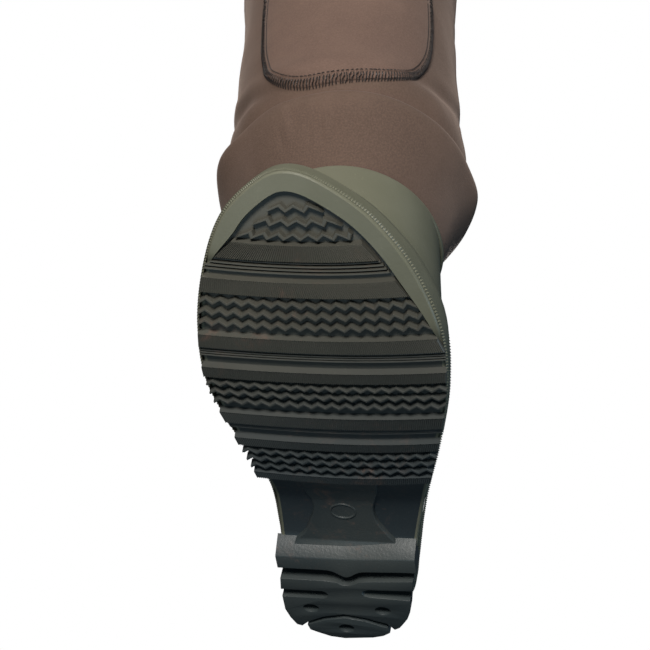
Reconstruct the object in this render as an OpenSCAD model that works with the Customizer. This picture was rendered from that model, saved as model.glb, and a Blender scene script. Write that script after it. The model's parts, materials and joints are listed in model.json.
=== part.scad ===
// Bootfoot chest waders, held up by the shoulder straps with the legs apart.
// Shapes are drawn standing, soles at height 0, then lowered so that the
// origin is where the straps rest on the shoulders. -Y is the wearer's front,
// +X the wearer's left.

/* [Stance] */
// Height of the shoulders above the soles
shoulder_height = 1480; // [1440:5:1520]
// Distance of each ankle from the middle
stance = 244; // [236:1:256]
// How far each leg leans in towards the crotch, in degrees
lean = 8.9; // [8.4:0.1:9.4]
// How far each toe turns out, in degrees
toe_out = 4; // [0:1:8]

/* [Boot] */
// Length of the outsole, heel to toe
sole_length = 306; // [296:2:316]
// Distance from the back of the heel to the ankle's centre line
ankle_back = 68; // [64:1:72]
// How high the toe curves up off the ground
toe_rise = 30; // [15:1:34]
// Where the toe starts to curve up, from the heel
toe_start = 195; // [185:1:205]
// Height of the shaft's top edge, along the leg
shaft_height = 250; // [246:1:254]
// Thickness of the rubber
rubber = 3; // [2.5:0.5:3.5]
// Height of the tread lugs
lug = 4; // [3:0.5:5]

/* [Neoprene] */
// Thickness of the foam fabric
foam = 4.5; // [3:0.5:5]
// Height of the bib at the middle of the chest
bib_top = 1296; // [1286:2:1300]
// Height of the top edge at the sides and back
side_top = 1250; // [1240:2:1256]

/* [Webbing] */
// Width of the shoulder webbing
web = 38; // [34:1:40]
// Thickness of the webbing
web_thick = 2; // [1.5:0.5:2]
// Distance of each front strap from the middle
strap_x = 86; // [80:1:92]
// How far the front straps lean back, in degrees
strap_lean = 17; // [15:1:19]

/* [Hidden] */

neoprene_brown = [0.44, 0.34, 0.29];
lining_black = [0.10, 0.10, 0.11];
rubber_olive = [0.44, 0.46, 0.38];
sole_slate = [0.25, 0.27, 0.26];
webbing_dark = [0.16, 0.14, 0.12];
plastic_black = [0.08, 0.08, 0.09];
steel_grey = [0.62, 0.63, 0.65];

gap = 0.4;             // clear space between pieces that move apart
ring_n = 32;           // points round a leg or boot

// ---- tables ----------------------------------------------------------------

// Outline of the outsole every 15 degrees of its length: lateral X, medial X
outline_step = 15;
outline = [[-1, -1], [15, -24], [31, -34], [36.5, -35.5], [42, -33], [50, -32.5], [60, -41.5],
    [67.5, -50.8], [68, -50], [57.5, -43.7], [39, -33.5], [16, -17], [-2, -2]];

// Leg along its own axis: height, half width, depth to the front, depth to the back
leg_table = [[250, 60, 68, 60], [262, 66, 73, 65], [280, 74, 80, 71], [292, 78, 82, 75], [304, 79, 74, 77],
    [318, 79, 74, 77], [336, 77, 76, 77], [380, 75, 76, 76], [430, 74.5, 77, 75], [490, 75, 79, 76],
    [560, 81, 85, 82], [650, 94, 100, 98], [720, 102, 112, 112], [772, 106, 120, 124]];

// Body of the waders: height, half width, depth to the front, depth to the back
body_table = [[770, 226, 128, 132], [868, 228, 136, 142], [950, 222, 136, 140], [1050, 214, 131, 131],
    [1150, 222, 135, 131], [1230, 230, 138, 130], [1310, 236, 139, 128]];

// Boot in level slices: height, back, front, width scale of the sole outline,
// half width once it is an oval, how oval it is, lean taken up, tilt of the slice
boot_table = [[10, 2.5, 301, 0.97, 38, 0, 0, 0], [22, 1.5, 302, 0.98, 38, 0, 0, 0],
    [34, 1.5, 294, 0.94, 38, 0, 0.02, 0], [46, 2.5, 283, 0.89, 39, 0.05, 0.05, 0],
    [56, 4, 270, 0.82, 39, 0.15, 0.1, 0], [64, 5, 255, 0.76, 39, 0.25, 0.15, 0],
    [72, 6, 236, 0.72, 39, 0.4, 0.2, 0], [82, 7, 208, 0.68, 39.5, 0.6, 0.3, 0],
    [96, 8, 178, 0.66, 41, 0.8, 0.4, 0], [116, 8.5, 156, 0.66, 43.5, 1, 0.5, 0],
    [145, 8, 142, 0.66, 48, 1, 0.65, 0.25], [180, 7, 137, 0.66, 53, 1, 0.8, 0.6],
    [212, 7, 136.5, 0.66, 57, 1, 0.95, 0.9], [243.5, 8, 136, 0.66, 58.5, 1, 1, 1]];

// Top of the outsole along its length: distance from the heel, height
sole_top_table = [[0, 24], [60, 24], [110, 19], [160, 10.5], [306, 9.5]];
// Underside of the outsole, without its lugs
sole_under_table = [[0, 0], [64, 0], [66, 0.2], [80, 11], [86, 12.5], [100, 12.5],
    [122, 8], [128, 4], [306, 4]];

// Cross bars of the tread: distance from the heel to the middle, width
bar_table = [[270.2, 8.4], [252, 7.6], [221.2, 7.7], [201.6, 7.5], [170, 8.5], [152.9, 6.6], [128.4, 5.2]];
// Zigzag groups: where each starts and ends
zigzag_table = [[277, 294], [230, 247.5], [179, 197], [134.5, 149]];
zigzag_rows = 3;
zigzag_pitch = 7;
// Groups of fine ridges: where each starts and ends
ridge_table = [[259, 265.5], [210.5, 216.8], [161.5, 165.3]];
rim_width = 8;         // smooth rim round the toe

// ---- small functions ---------------------------------------------------------

function mix(a, b, t) = a + (b - a) * t;
function clamp(v, lo, hi) = min(max(v, lo), hi);
function find(table, x, i = 0) = i >= len(table) - 2 || x < table[i + 1][0] ? i : find(table, x, i + 1);
// Straight-line reading of a table whose rows start with their position
function read(table, x) =
    let(i = find(table, x), t = clamp((x - table[i][0]) / (table[i + 1][0] - table[i][0]), 0, 1))
    mix(table[i], table[i + 1], t);
// One step of a smooth curve through four values
function curve(p0, p1, p2, p3, t) =
    p1 + 0.5 * t * (p2 - p0 + t * (2 * p0 - 5 * p1 + 4 * p2 - p3 + t * (3 * (p1 - p2) + p3 - p0)));
// X of the outsole's edge at a share of the way along, 0 to 180 degrees
function edge_x(angle, side) =
    let(n = len(outline) - 1, u = clamp(angle / outline_step, 0, n), i = min(floor(u), n - 1))
    curve(outline[abs(i - 1)][i == 0 ? 1 - side : side], outline[i][side], outline[i + 1][side],
        outline[i + 2 > n ? n - 1 : i + 2][i + 2 > n ? 1 - side : side], u - i);
function angle_at(t) = acos(clamp(1 - 2 * t / sole_length, -1, 1));
function lateral(t) = edge_x(angle_at(t), 0);
function medial(t) = edge_x(angle_at(t), 1);
toe_lean = 0.6;         // how far the toe's wall follows the tilt of the sole under it
function spring(t) = toe_rise * pow(max(t - toe_start, 0) / (sole_length - toe_start), 2);
function slope(t) = atan(2 * toe_rise * max(t - toe_start, 0) / pow(sole_length - toe_start, 2));

// Point on the leg, in the leg's own frame: angle 0 is outward, 90 the front
function leg_point(h, angle, out) =
    let(r = read(leg_table, h), b = sin(angle) > 0 ? r[2] : r[3])
    [(r[1] + out) * cos(angle), -(b + out) * sin(angle), h];
// Point on the body: angle 0 is the left side, 90 the front
function body_point(z, angle, out) =
    let(r = read(body_table, z), b = sin(angle) > 0 ? r[2] : r[3])
    [(r[1] + out) * cos(angle), -(b + out) * sin(angle), z];
function top_edge(angle) = side_top + (bib_top - side_top) * pow(clamp((sin(angle) - 0.72) / 0.28, 0, 1), 0.6);
// Point on the boot: angle 0 is the heel, 180 the toe, 360 the heel again
function boot_point(z, angle, out) =
    let(r = read(boot_table, z), half = angle <= 180, a = half ? angle : 360 - angle, side = half ? 0 : 1,
        t = mix(r[1] - out, r[2] + out, (1 - cos(a)) / 2), sign = half ? 1 : -1,
        flat_x = edge_x(a, side) * r[3], oval_x = sign * r[4] * sin(a),
        x = mix(flat_x, oval_x, r[5]) + sign * out * sin(a) - z * tan(lean) * r[6],
        low = clamp((120 - z) / 60, 0, 1))
    [x, ankle_back - t + z * sin(slope(t)) * low * toe_lean,
        z + spring(t) * low + (x + z * tan(lean)) * tan(lean) * r[7]];

// ---- building blocks -----------------------------------------------------------

// A solid through a list of closed loops of points; flip turns it inside out
module loft(loops, wrap = false, flip = false) {
    n = len(loops);
    k = len(loops[0]);
    last = wrap ? n - 1 : n - 2;
    sides = [for (i = [0:last], j = [0:k - 1])
        let(a = i * k + j, b = ((i + 1) % n) * k + j,
            c = ((i + 1) % n) * k + (j + 1) % k, d = i * k + (j + 1) % k)
        each [[a, b, c], [a, c, d]]];
    half = floor(k / 2) - 1;
    caps = wrap ? [] : [for (j = [0:half - 1])
        let(e = (n - 1) * k, p = j, q = j + 1, r = k - 2 - j, s = k - 1 - j)
        each [[p, q, r], [p, r, s], [e + p, e + r, e + q], [e + p, e + s, e + r]]];
    faces = concat(sides, caps);
    polyhedron([for (l = loops) each l], flip ? [for (f = faces) [f[2], f[1], f[0]]] : faces, convexity = 6);
}

// Tube of the leg between two heights along the leg
module leg_tube(low, high, rings, out = 0, wall = foam) {
    hs = [for (i = [0:rings]) mix(low, high, i / rings)];
    loft([for (j = [0:ring_n - 1]) let(a = 360 * j / ring_n) concat(
        [for (h = hs) leg_point(h, a, out)],
        [for (i = [rings:-1:0]) leg_point(hs[i], a, out - wall)])], wrap = true);
}

// Places a piece of the left leg, which is drawn upright on the leg's axis
module on_leg(turn = 0) {
    translate([stance, 0, 0]) rotate([0, -lean, 0]) rotate([0, 0, turn]) children();
}
// Places a piece of the left boot
module on_boot() {
    translate([stance, 0, 0]) rotate([0, 0, toe_out]) children();
}
// Lowers the standing waders so that the shoulders are at height 0
module hang() {
    translate([0, 0, -shoulder_height]) children();
}
module right_side() {
    mirror([1, 0, 0]) children();
}

// Part of the body's wall between two angles
module body_panel(from, to, steps, low) {
    rows = 6;
    loft([for (j = [0:steps]) let(a = mix(from, to, j / steps), top = top_edge(a)) concat(
        [for (i = [0:rows]) body_point(mix(low, top, i / rows), a, 0)],
        [for (i = [rows:-1:0]) body_point(mix(low, top, i / rows), a, -foam)])]);
}

// ---- body of the waders --------------------------------------------------------

seam_gap = 0.15;       // degrees left open at each side seam
panel_low = 868.4;

module front_panel() color(neoprene_brown)
    body_panel(seam_gap, 180 - seam_gap, 24, panel_low);

module back_panel() color(neoprene_brown)
    body_panel(180 + seam_gap, 360 - seam_gap, 24, panel_low);

module seat_solid(inset) {
    module leg_ring(h) linear_extrude(0.5) polygon([for (j = [0:ring_n - 1])
        let(p = leg_point(h, 360 * j / ring_n, -inset)) [p[0], p[1]]]);
    module half() hull() {
        translate([0, 0, 867.5 + inset / 6]) linear_extrude(0.5) polygon([for (j = [0:ring_n - 1])
            let(p = body_point(868, 360 * j / ring_n, -inset)) [p[0], p[1]]]);
        on_leg() translate([0, 0, 772 - inset / 6]) leg_ring(772);
    }
    half();
    mirror([1, 0, 0]) half();
}

module seat_gusset() color(neoprene_brown) difference() {
    seat_solid(0);
    seat_solid(foam);
}

module top_binding() color(lining_black)
    loft([for (j = [0:47]) let(a = 360 * j / 48, z = top_edge(a) + 0.3) [
        body_point(z, a, 1.2), body_point(z + 3, a, 1.2),
        body_point(z + 3, a, -foam - 1.2), body_point(z, a, -foam - 1.2)]], wrap = true);

pocket_low = 1060;
pocket_high = 1212;
pocket_angle = 34;     // half the pocket's width, as an angle round the body
pocket_deep = 18;

pocket_across = 24;
pocket_up = 12;
// The pocket stands off the chest, and comes down to it over a share of its width and height
function pocket_rise(u, v) = pocket_deep * clamp(min(u, 1 - u) * 7, 0, 1) * clamp(v * 5, 0, 1);
function pocket_point(u, v, sheet) = body_point(mix(pocket_low, pocket_high, v),
    90 - pocket_angle + 2 * pocket_angle * u, gap + sheet + pocket_rise(u, v));
module chest_pocket() color(neoprene_brown)
    loft([for (i = [0:pocket_across]) let(u = i / pocket_across) concat(
        [for (j = [0:pocket_up]) pocket_point(u, j / pocket_up, 3)],
        [for (j = [pocket_up:-1:0]) pocket_point(u, j / pocket_up, 0)])]);

flap_out = pocket_deep + 4;   // how far the flap stands off the chest
// Cross-section of the flap: from its hinge at the top, over the pocket's mouth and down
function flap_loop(a) = [
    body_point(1240, a, gap), body_point(1240, a, gap + 3.5), body_point(1226, a, flap_out + 3),
    body_point(1166, a, flap_out + 3), body_point(1166, a, flap_out), body_point(1222, a, flap_out)];
module pocket_flap() color(neoprene_brown)
    loft([for (i = [0:pocket_across])
        flap_loop(mix(89 - pocket_angle, 91 + pocket_angle, i / pocket_across))], flip = true);

snap_angles = [70, 110];
snap_z = 1176;
flap_thick = 3;
// Which way the body's surface faces at an angle round it
function body_turn(z, angle) =
    let(r = read(body_table, z)) atan(r[2] * cos(angle) / (r[1] * sin(angle)));
module snaps(out, high, radius)
    for (a = snap_angles) translate(body_point(snap_z, a, out)) rotate([90, 0, body_turn(snap_z, a)])
        cylinder(h = high, r = radius, $fn = 32);
module flap_snap_caps() color(steel_grey) snaps(flap_out + flap_thick + 0.4, 1.5, 5.5);
module pocket_snap_studs() color(steel_grey) snaps(flap_thick + pocket_deep + gap + 0.22, 0.12, 4);

ring_z = 1180;         // height of the accessory ring, on the right of the chest
module d_ring_tab() color(webbing_dark) {
    p = body_point(ring_z, 132, 0);
    translate([p[0], p[1] - 1.4, ring_z]) rotate([0, 0, -31]) {
        translate([-12, -web_thick, 8]) cube([24, web_thick, 26]);
        translate([-12, -8.4, 0]) difference() {
            cube([24, 8.4, 12]);
            translate([-1, 2, 3.2]) cube([26, 4.4, 4.8]);
        }
    }
}
module d_ring() color(steel_grey) {
    p = body_point(ring_z, 132, 0);
    translate([p[0], p[1] - 1.4, ring_z]) rotate([0, 0, -31]) translate([0, -4.2, 5.6]) {
        rotate([0, 90, 0]) cylinder(h = 37.6, r = 1.8, center = true, $fn = 24);
        rotate([90, 0, 0]) rotate([0, 0, 180]) rotate_extrude(angle = 180, $fn = 48)
            translate([17, 0]) circle(r = 1.6, $fn = 24);
    }
}

// ---- belt -----------------------------------------------------------------------

belt_z = 1030;
belt_wide = 38;
belt_out = 1.2;
belt_open = 24;        // degrees left for the buckle, each side of the front

function belt_loop_points(a, out, thick, low, high) = [
    body_point(belt_z, a, out) + [0, 0, low], body_point(belt_z, a, out + thick) + [0, 0, low],
    body_point(belt_z, a, out + thick) + [0, 0, high], body_point(belt_z, a, out) + [0, 0, high]];

module belt() color(webbing_dark) {
    steps = 44;
    from = 98;
    to = 446.2;
    loft([for (i = [0:steps]) belt_loop_points(mix(from, to, i / steps), belt_out, web_thick,
        -belt_wide / 2, belt_wide / 2)]);
}

loop_angles = [25, 155, 215, 270, 325];
module belt_loops() color(webbing_dark)
    for (a = loop_angles) difference() {
        loft([for (i = [0:4]) belt_loop_points(a - 3 + 1.5 * i, 0.2, belt_out + web_thick + 2.4,
            -belt_wide / 2 - 5, belt_wide / 2 + 5)]);
        loft([for (i = [0:6]) belt_loop_points(a - 4.5 + 1.5 * i, belt_out - 0.5, web_thick + 1,
            -belt_wide / 2 - 1, belt_wide / 2 + 1)]);
    }

buckle_deep = 9;       // thickness of a side-release buckle
buckle_wide = 46;
travel = 28;           // how far a clip pulls out

// Socket of a side-release buckle: drawn along +Z, mouth at height 30, web bar at the bottom
module socket() {
    difference() {
        translate([-buckle_wide / 2, 0, 0]) cube([buckle_wide, buckle_deep, 30]);
        translate([-buckle_wide / 2 + 3, 2, 9]) cube([buckle_wide - 6, buckle_deep - 4, 22]);
        for (s = [-1, 1]) translate([s * buckle_wide / 2 - 4, -1, 12]) cube([8, buckle_deep + 2, 10]);
        translate([-web / 2 - 1, -1, 3]) cube([web + 2, buckle_deep + 2, 2.6]);
    }
}
// Clip of the buckle: prongs reach down into the socket, web bar at the top
module clip() {
    difference() {
        translate([-buckle_wide / 2, 0, 30.4]) cube([buckle_wide, buckle_deep, 13]);
        translate([-web / 2 - 1, -1, 35.5]) cube([web + 2, buckle_deep + 2, 5]);
    }
    translate([-4, 2.5, 12]) cube([8, buckle_deep - 5, 19]);
    for (s = [-1, 1]) translate([s * 15, 0, 0]) {
        translate([-2, 2.5, 11]) cube([4, buckle_deep - 5, 20]);
        translate([s > 0 ? 0 : -4.6, 2.5, 12.5]) cube([4.6, buckle_deep - 5, 9]);
    }
}

// Places the belt buckle: its +Z runs along the belt, from the socket to the clip
belt_front = read(body_table, belt_z)[2];
module on_belt() {
    translate([22, -belt_front - 4, belt_z]) rotate([0, -90, 0]) mirror([0, 1, 0]) children();
}
module belt_socket() color(plastic_black) on_belt() socket();
module belt_clip() color(plastic_black) on_belt() clip();
module belt_end_loop() color(webbing_dark) on_belt()
    translate([-web / 2, 3.2, 36.6]) cube([web, web_thick, 34]);

// ---- shoulder straps --------------------------------------------------------------

strap_low = bib_top - 6;
straight = 128;        // straight part of each front strap
web_out = 2;           // the webbing's centre line stands this far in front of the buckle's back
bib_half = read(body_table, strap_low)[1];
bib_deep = read(body_table, strap_low)[2];
// The straps face square to the curved chest where they leave it
strap_angle = acos(strap_x / bib_half);
strap_y = -bib_deep * sin(strap_angle) - 4.6;
strap_turn = atan(bib_deep * cos(strap_angle) / (bib_half * sin(strap_angle)));

// Places a piece on the left front strap: +Z runs up the strap, +Y faces outward
module on_strap() {
    translate([strap_x, strap_y, strap_low]) rotate([0, 0, strap_turn]) rotate([-strap_lean, 0, 0])
        mirror([0, 1, 0]) children();
}
strap_dir = [-sin(strap_lean) * sin(strap_turn), sin(strap_lean) * cos(strap_turn), cos(strap_lean)];
strap_face = [cos(strap_lean) * sin(strap_turn), -cos(strap_lean) * cos(strap_turn), sin(strap_lean)];
strap_side = [cos(strap_turn), sin(strap_turn), 0];
function strap_top(u) = [strap_x, strap_y, strap_low] + u * strap_dir + web_out * strap_face;
// Path of the left strap from its straight part, over the shoulder and down to the yoke: s is 0 to 1
yoke_z = 1330;
yoke_y = 116;
over_from = strap_top(straight);
over_peak = [74, 44, shoulder_height + 9];
over_down = [52, 100, shoulder_height - 40];
over_end = [17, yoke_y, yoke_z + 16];
over_middle = (over_from + 62 * strap_dir + over_peak) / 2;
function arc_front(t) = pow(1 - t, 2) * over_from + 2 * t * (1 - t) * (over_from + 62 * strap_dir)
    + t * t * over_middle;
function arc_back(t) = pow(1 - t, 3) * over_middle + 3 * t * pow(1 - t, 2) * over_peak
    + 3 * t * t * (1 - t) * over_down + t * t * t * over_end;
function shoulder_path(s) = s < 0.5 ? arc_front(2 * s) : arc_back(2 * s - 1);

function unit(v) = v / norm(v);
// A flat band along a list of points; each station has its width direction
function band_loop(p, tangent, across, wide, thick) =
    let(w = unit(across - (across * tangent) * tangent), n = cross(tangent, w))
    [p - w * wide / 2 - n * thick / 2, p + w * wide / 2 - n * thick / 2,
     p + w * wide / 2 + n * thick / 2, p - w * wide / 2 + n * thick / 2];

module left_shoulder_strap() color(webbing_dark) {
    steps = 22;
    loft(concat([band_loop(strap_top(84), strap_dir, strap_side, web, web_thick)],
        [for (i = [0:steps]) let(s = i / steps, p = shoulder_path(s),
            d = unit(shoulder_path(min(s + 0.01, 1)) - shoulder_path(max(s - 0.01, 0))))
            band_loop(p, d, mix(strap_side, [0.86, 0, 0.5], s), web, web_thick)]));
}
module back_yoke() color(webbing_dark) {
    back = read(body_table, side_top)[3];
    loft([for (i = [0:8]) let(t = i / 8, z = mix(yoke_z - 14, side_top - 44, t),
        y = z > side_top ? mix(back + 2.2, yoke_y - 2, (z - side_top) / (yoke_z - side_top)) : back + 2.2)
        band_loop([0, y, z], [0, 0, -1], [1, 0, 0], web, web_thick)]);
}
module yoke_patch() color(plastic_black) {
    translate([0, yoke_y - 1.5, yoke_z - 24]) rotate([-3, 0, 0]) rotate([-90, 0, 0])
        linear_extrude(2.4) offset(r = 5)
        polygon([[-38, -46], [38, -46], [16, 10], [-16, 10]]);
}
module left_strap_tab() color(webbing_dark) on_strap() {
    translate([-web / 2, -2.4, 8.2]) cube([web, 13.6, 2.2]);
    translate([-web / 2, -2.4, -2]) cube([web, web_thick, 12]);
    translate([-web / 2, 9.2, -2]) cube([web, web_thick, 12]);
    translate([-web / 2, -2.4, -4]) cube([web, 13.6, 2.2]);
    translate([-web / 2, -2.4, -3]) rotate([-strap_lean, 0, 0])
        translate([0, 0, -36]) cube([web, web_thick, 37]);
}
module left_buckle_socket() color(plastic_black) on_strap() translate([0, 0, 5.2]) socket();
module left_buckle_clip() color(plastic_black) on_strap() translate([0, 0, 5.2]) clip();
module left_strap_loop() color(webbing_dark) on_strap() {
    translate([-web / 2, -2.4, 41.6]) cube([web, 13.6, 2]);
    translate([-web / 2, -2.4, 41.6]) cube([web, web_thick, 56]);
    translate([-web / 2, 9.2, 41.6]) cube([web, web_thick, 12]);
    translate([-web / 2, -2.4, 51.6]) cube([web, 13.6, 2]);
}
module left_adjuster() color(plastic_black) on_strap() translate([0, 0, 86]) difference() {
    translate([-web / 2 - 5, -5.8, 0]) cube([web + 10, 12, 12]);
    translate([-web / 2 - 1.6, -3.9, -1]) cube([web + 3.2, 8.2, 14]);
}

// ---- legs --------------------------------------------------------------------------

hip_low = 640;
thigh_low = 598;
shin_high = 384;
shin_low = 336;

module left_hip_sleeve() color(neoprene_brown) on_leg() leg_tube(hip_low + gap, 771.4, 5);
module left_thigh() color(neoprene_brown) on_leg() leg_tube(thigh_low + gap, hip_low, 2);
module left_knee_sleeve() color(neoprene_brown) on_leg() leg_tube(shin_high + gap, thigh_low, 6);
module left_shin() color(neoprene_brown) on_leg() leg_tube(shin_low + gap, shin_high, 2);
module left_ankle_fold() color(neoprene_brown) on_leg() leg_tube(shaft_height + gap, shin_low, 8);

pad_low = 326;
pad_high = 604;
pad_half = 62;         // half the pad's width, as an angle round the leg
pad_turn = 15;         // the pad faces a little outward
pad_rows = 14;
pad_gap = 2.6;         // clear of the flat facets of the leg under it
pad_thick = 2;
pad_end = 40;          // half the pad's width at its upper and lower edges
function pad_reach(v) = pad_end + (pad_half - pad_end) * pow(1 - pow(abs(2 * v - 1), 3.4), 0.42);
module left_knee_pad() color(neoprene_brown) on_leg()
    loft([for (i = [0:pad_rows])
        let(v = (1 - cos(180 * i / pad_rows)) / 2, h = mix(pad_low, pad_high, v), w = pad_reach(v)) concat(
        [for (j = [0:10]) leg_point(h, 90 - pad_turn + w * (j / 5 - 1), pad_gap + pad_thick)],
        [for (j = [10:-1:0]) leg_point(h, 90 - pad_turn + w * (j / 5 - 1), pad_gap)])], flip = true);

// ---- boots -------------------------------------------------------------------------

shell_low = 10;
// Height of the boot's floor inside, at a distance from the heel
function floor_at(t) = read(sole_top_table, t)[1] + rubber;

// Ring of the boot's wall at a level, never below the outsole it stands on
function wall_ring(z, out) = [for (j = [0:ring_n - 1])
    let(p = boot_point(z, 360 * j / ring_n, out), t = ankle_back - p[1],
        base = read(sole_top_table, t)[1] + spring(t) + 0.1 + (out < 0 ? rubber : 0))
    [p[0], p[1], max(p[2], base + (z - shell_low) * 0.05)]];
function base_ring(out) = [for (p = wall_ring(shell_low, out)) let(t = ankle_back - p[1])
    [p[0], p[1], read(sole_top_table, t)[1] + spring(t) + 0.1 + (out < 0 ? rubber : 0)]];
module left_boot_shell() color(rubber_olive) on_boot() {
    levels = [for (i = [1:len(boot_table) - 1]) boot_table[i][0]];
    loft(concat([base_ring(0)], [for (z = levels) wall_ring(z, 0)],
        [for (i = [len(levels) - 1:-1:0]) wall_ring(levels[i], -rubber)], [base_ring(-rubber)]), flip = true);
}
module left_boot_lip() color(rubber_olive) on_leg()
    leg_tube(shaft_height - 4.2, shaft_height, 1, out = 1.5, wall = rubber + 2);

band_low = 9;
band_high = 24;
module left_grip_band() color(rubber_olive) on_boot()
    loft([for (j = [0:47]) let(a = 360 * j / 48) [
        for (q = [[band_low, 2.4], [band_high, 2.2], [band_high, 0.1], [band_low, 0.1]])
        let(p = boot_point(16, a, q[1]), t = ankle_back - p[1], s = read(sole_top_table, t)[1] - 9.5)
        [p[0], p[1], q[0] + s + spring(t)]]], wrap = true);

function sole_loop(t, inset) =
    let(l = lateral(t) - inset, m = medial(t) + inset, high = read(sole_top_table, t)[1] - 0.1 + spring(t),
        low = read(sole_under_table, t)[1] + spring(t), y = ankle_back - t)
    [[m, y, low], [l, y, low], [l, y, high], [m, y, high]];
module left_outsole() color(sole_slate) on_boot() {
    ts = concat([for (a = [8:8:48]) sole_length * (1 - cos(a)) / 2], [64, 66, 73, 80, 86, 100, 112, 122, 128],
        [for (a = [84:6:150]) sole_length * (1 - cos(a)) / 2],
        [for (a = [155:5:175]) sole_length * (1 - cos(a)) / 2]);
    difference() {
        loft([for (t = ts) sole_loop(t, 1)]);
        heel_cuts();
    }
}
// Grooves and sockets moulded into the heel's face
module heel_cuts() {
    deep = 6;
    translate([-60, ankle_back - 54.5, -1]) cube([120, 4.5, deep + 1]);
    for (s = [-1, 1]) translate([s > 0 ? 17 : -60, ankle_back - 42, -1]) cube([43, 4.5, deep + 1]);
    for (s = [-1, 1]) translate([s * 22, ankle_back - 26, -1]) cylinder(h = deep + 1, r = 5, $fn = 32);
    translate([0, ankle_back - 9, -1]) cylinder(h = deep + 1, r = 5, $fn = 32);
    translate([0, ankle_back + 24, -1]) difference() {
        cylinder(h = deep + 1, r = 45, $fn = 64);
        translate([0, 0, -1]) cylinder(h = deep + 3, r = 41.5, $fn = 64);
    }
}

// Tilts a lug to lie on the curved sole at a distance from the heel
module on_sole(t) {
    translate([0, ankle_back - t, lug + spring(t)]) rotate([-slope(t), 0, 0]) children();
}
// Rim left smooth at the toe, none further back
function tread_inset(t, side) =
    let(start = side > 0 ? 232 : 252) 0.6 + rim_width * clamp((t - start) / 34, 0, 1);
module left_tread_bars() color(sole_slate) on_boot()
    for (b = bar_table) on_sole(b[0]) {
        l = min(lateral(b[0] - b[1] / 2), lateral(b[0] + b[1] / 2)) - tread_inset(b[0], 1);
        m = max(medial(b[0] - b[1] / 2), medial(b[0] + b[1] / 2)) + tread_inset(b[0], -1);
        translate([m, -b[1] / 2, -lug]) cube([l - m, b[1], lug - 0.1]);
    }
// Sideways step of a zigzag rib at each of its corners
function zig(i) = (i % 2) * 1.8 - 0.9;
module left_tread_ribs() color(sole_slate) on_boot() {
    for (g = zigzag_table, row = [0:zigzag_rows - 1]) {
        step = (g[1] - g[0]) / zigzag_rows;
        t = g[0] + step * (row + 0.5);
        on_sole(t) {
            l = lateral(t + step / 2) - tread_inset(t, 1) - 1;
            m = medial(t + step / 2) + tread_inset(t, -1) + 1;
            count = floor((l - m) / (zigzag_pitch / 2));
            translate([0, 0, -lug + 0.5]) linear_extrude(lug - 0.6) polygon(concat(
                [for (i = [0:count]) [m + i * zigzag_pitch / 2, zig(i) - step * 0.3]],
                [for (i = [count:-1:0]) [m + i * zigzag_pitch / 2, zig(i) + step * 0.3]]));
        }
    }
    for (g = ridge_table, i = [0:2]) {
        t = mix(g[0], g[1], i / 2);
        on_sole(t) {
            l = lateral(t) - tread_inset(t, 1) - 1;
            m = medial(t) + tread_inset(t, -1) + 1;
            translate([m, -0.5, -lug + 1]) cube([l - m, 1, lug - 1.1]);
        }
    }
}

function foot_plate(t, inset, low, high) =
    let(l = lateral(t) - inset, m = medial(t) + inset, y = ankle_back - t, z = floor_at(t) + spring(t))
    [[m, y, z + low], [l, y, z + low], [l, y, z + high], [m, y, z + high]];
module left_insole() color(lining_black) on_boot()
    loft([for (t = [14:12:254]) foot_plate(t, 9 + max(0, t - 194) * 0.1, 1.9, 5.4)]);
module left_shank() color(steel_grey) on_boot()
    loft([for (t = [60:10:150]) let(y = ankle_back - t, z = floor_at(t) + spring(t))
        [[-7, y, z + 0.2], [11, y, z + 0.2], [11, y, z + 1.6], [-7, y, z + 1.6]]]);

// ---- what is drawn -------------------------------------------------------------------

hang() front_panel();
hang() back_panel();
hang() seat_gusset();
hang() top_binding();
hang() chest_pocket();
hang() pocket_flap();
hang() flap_snap_caps();
hang() pocket_snap_studs();
hang() d_ring_tab();
hang() d_ring();
hang() belt();
hang() belt_loops();
hang() belt_socket();
hang() belt_clip();
hang() belt_end_loop();
hang() back_yoke();
hang() yoke_patch();
hang() left_shoulder_strap();
hang() left_strap_tab();
hang() left_buckle_socket();
hang() left_buckle_clip();
hang() left_strap_loop();
hang() left_adjuster();
hang() left_hip_sleeve();
hang() left_thigh();
hang() left_knee_sleeve();
hang() left_knee_pad();
hang() left_shin();
hang() left_ankle_fold();
hang() left_boot_shell();
hang() left_boot_lip();
hang() left_grip_band();
hang() left_outsole();
hang() left_tread_bars();
hang() left_tread_ribs();
hang() left_insole();
hang() left_shank();
// The right side mirrors the left
hang() right_side() left_shoulder_strap();  // right_shoulder_strap
hang() right_side() left_strap_tab();  // right_strap_tab
hang() right_side() left_buckle_socket();  // right_buckle_socket
hang() right_side() left_buckle_clip();  // right_buckle_clip
hang() right_side() left_strap_loop();  // right_strap_loop
hang() right_side() left_adjuster();  // right_adjuster
hang() right_side() left_hip_sleeve();  // right_hip_sleeve
hang() right_side() left_thigh();  // right_thigh
hang() right_side() left_knee_sleeve();  // right_knee_sleeve
hang() right_side() left_knee_pad();  // right_knee_pad
hang() right_side() left_shin();  // right_shin
hang() right_side() left_ankle_fold();  // right_ankle_fold
hang() right_side() left_boot_shell();  // right_boot_shell
hang() right_side() left_boot_lip();  // right_boot_lip
hang() right_side() left_grip_band();  // right_grip_band
hang() right_side() left_outsole();  // right_outsole
hang() right_side() left_tread_bars();  // right_tread_bars
hang() right_side() left_tread_ribs();  // right_tread_ribs
hang() right_side() left_insole();  // right_insole
hang() right_side() left_shank();  // right_shank
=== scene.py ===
import json
import math

import bmesh
import bpy
import numpy as np
from mathutils import Matrix, Vector, noise


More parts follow.
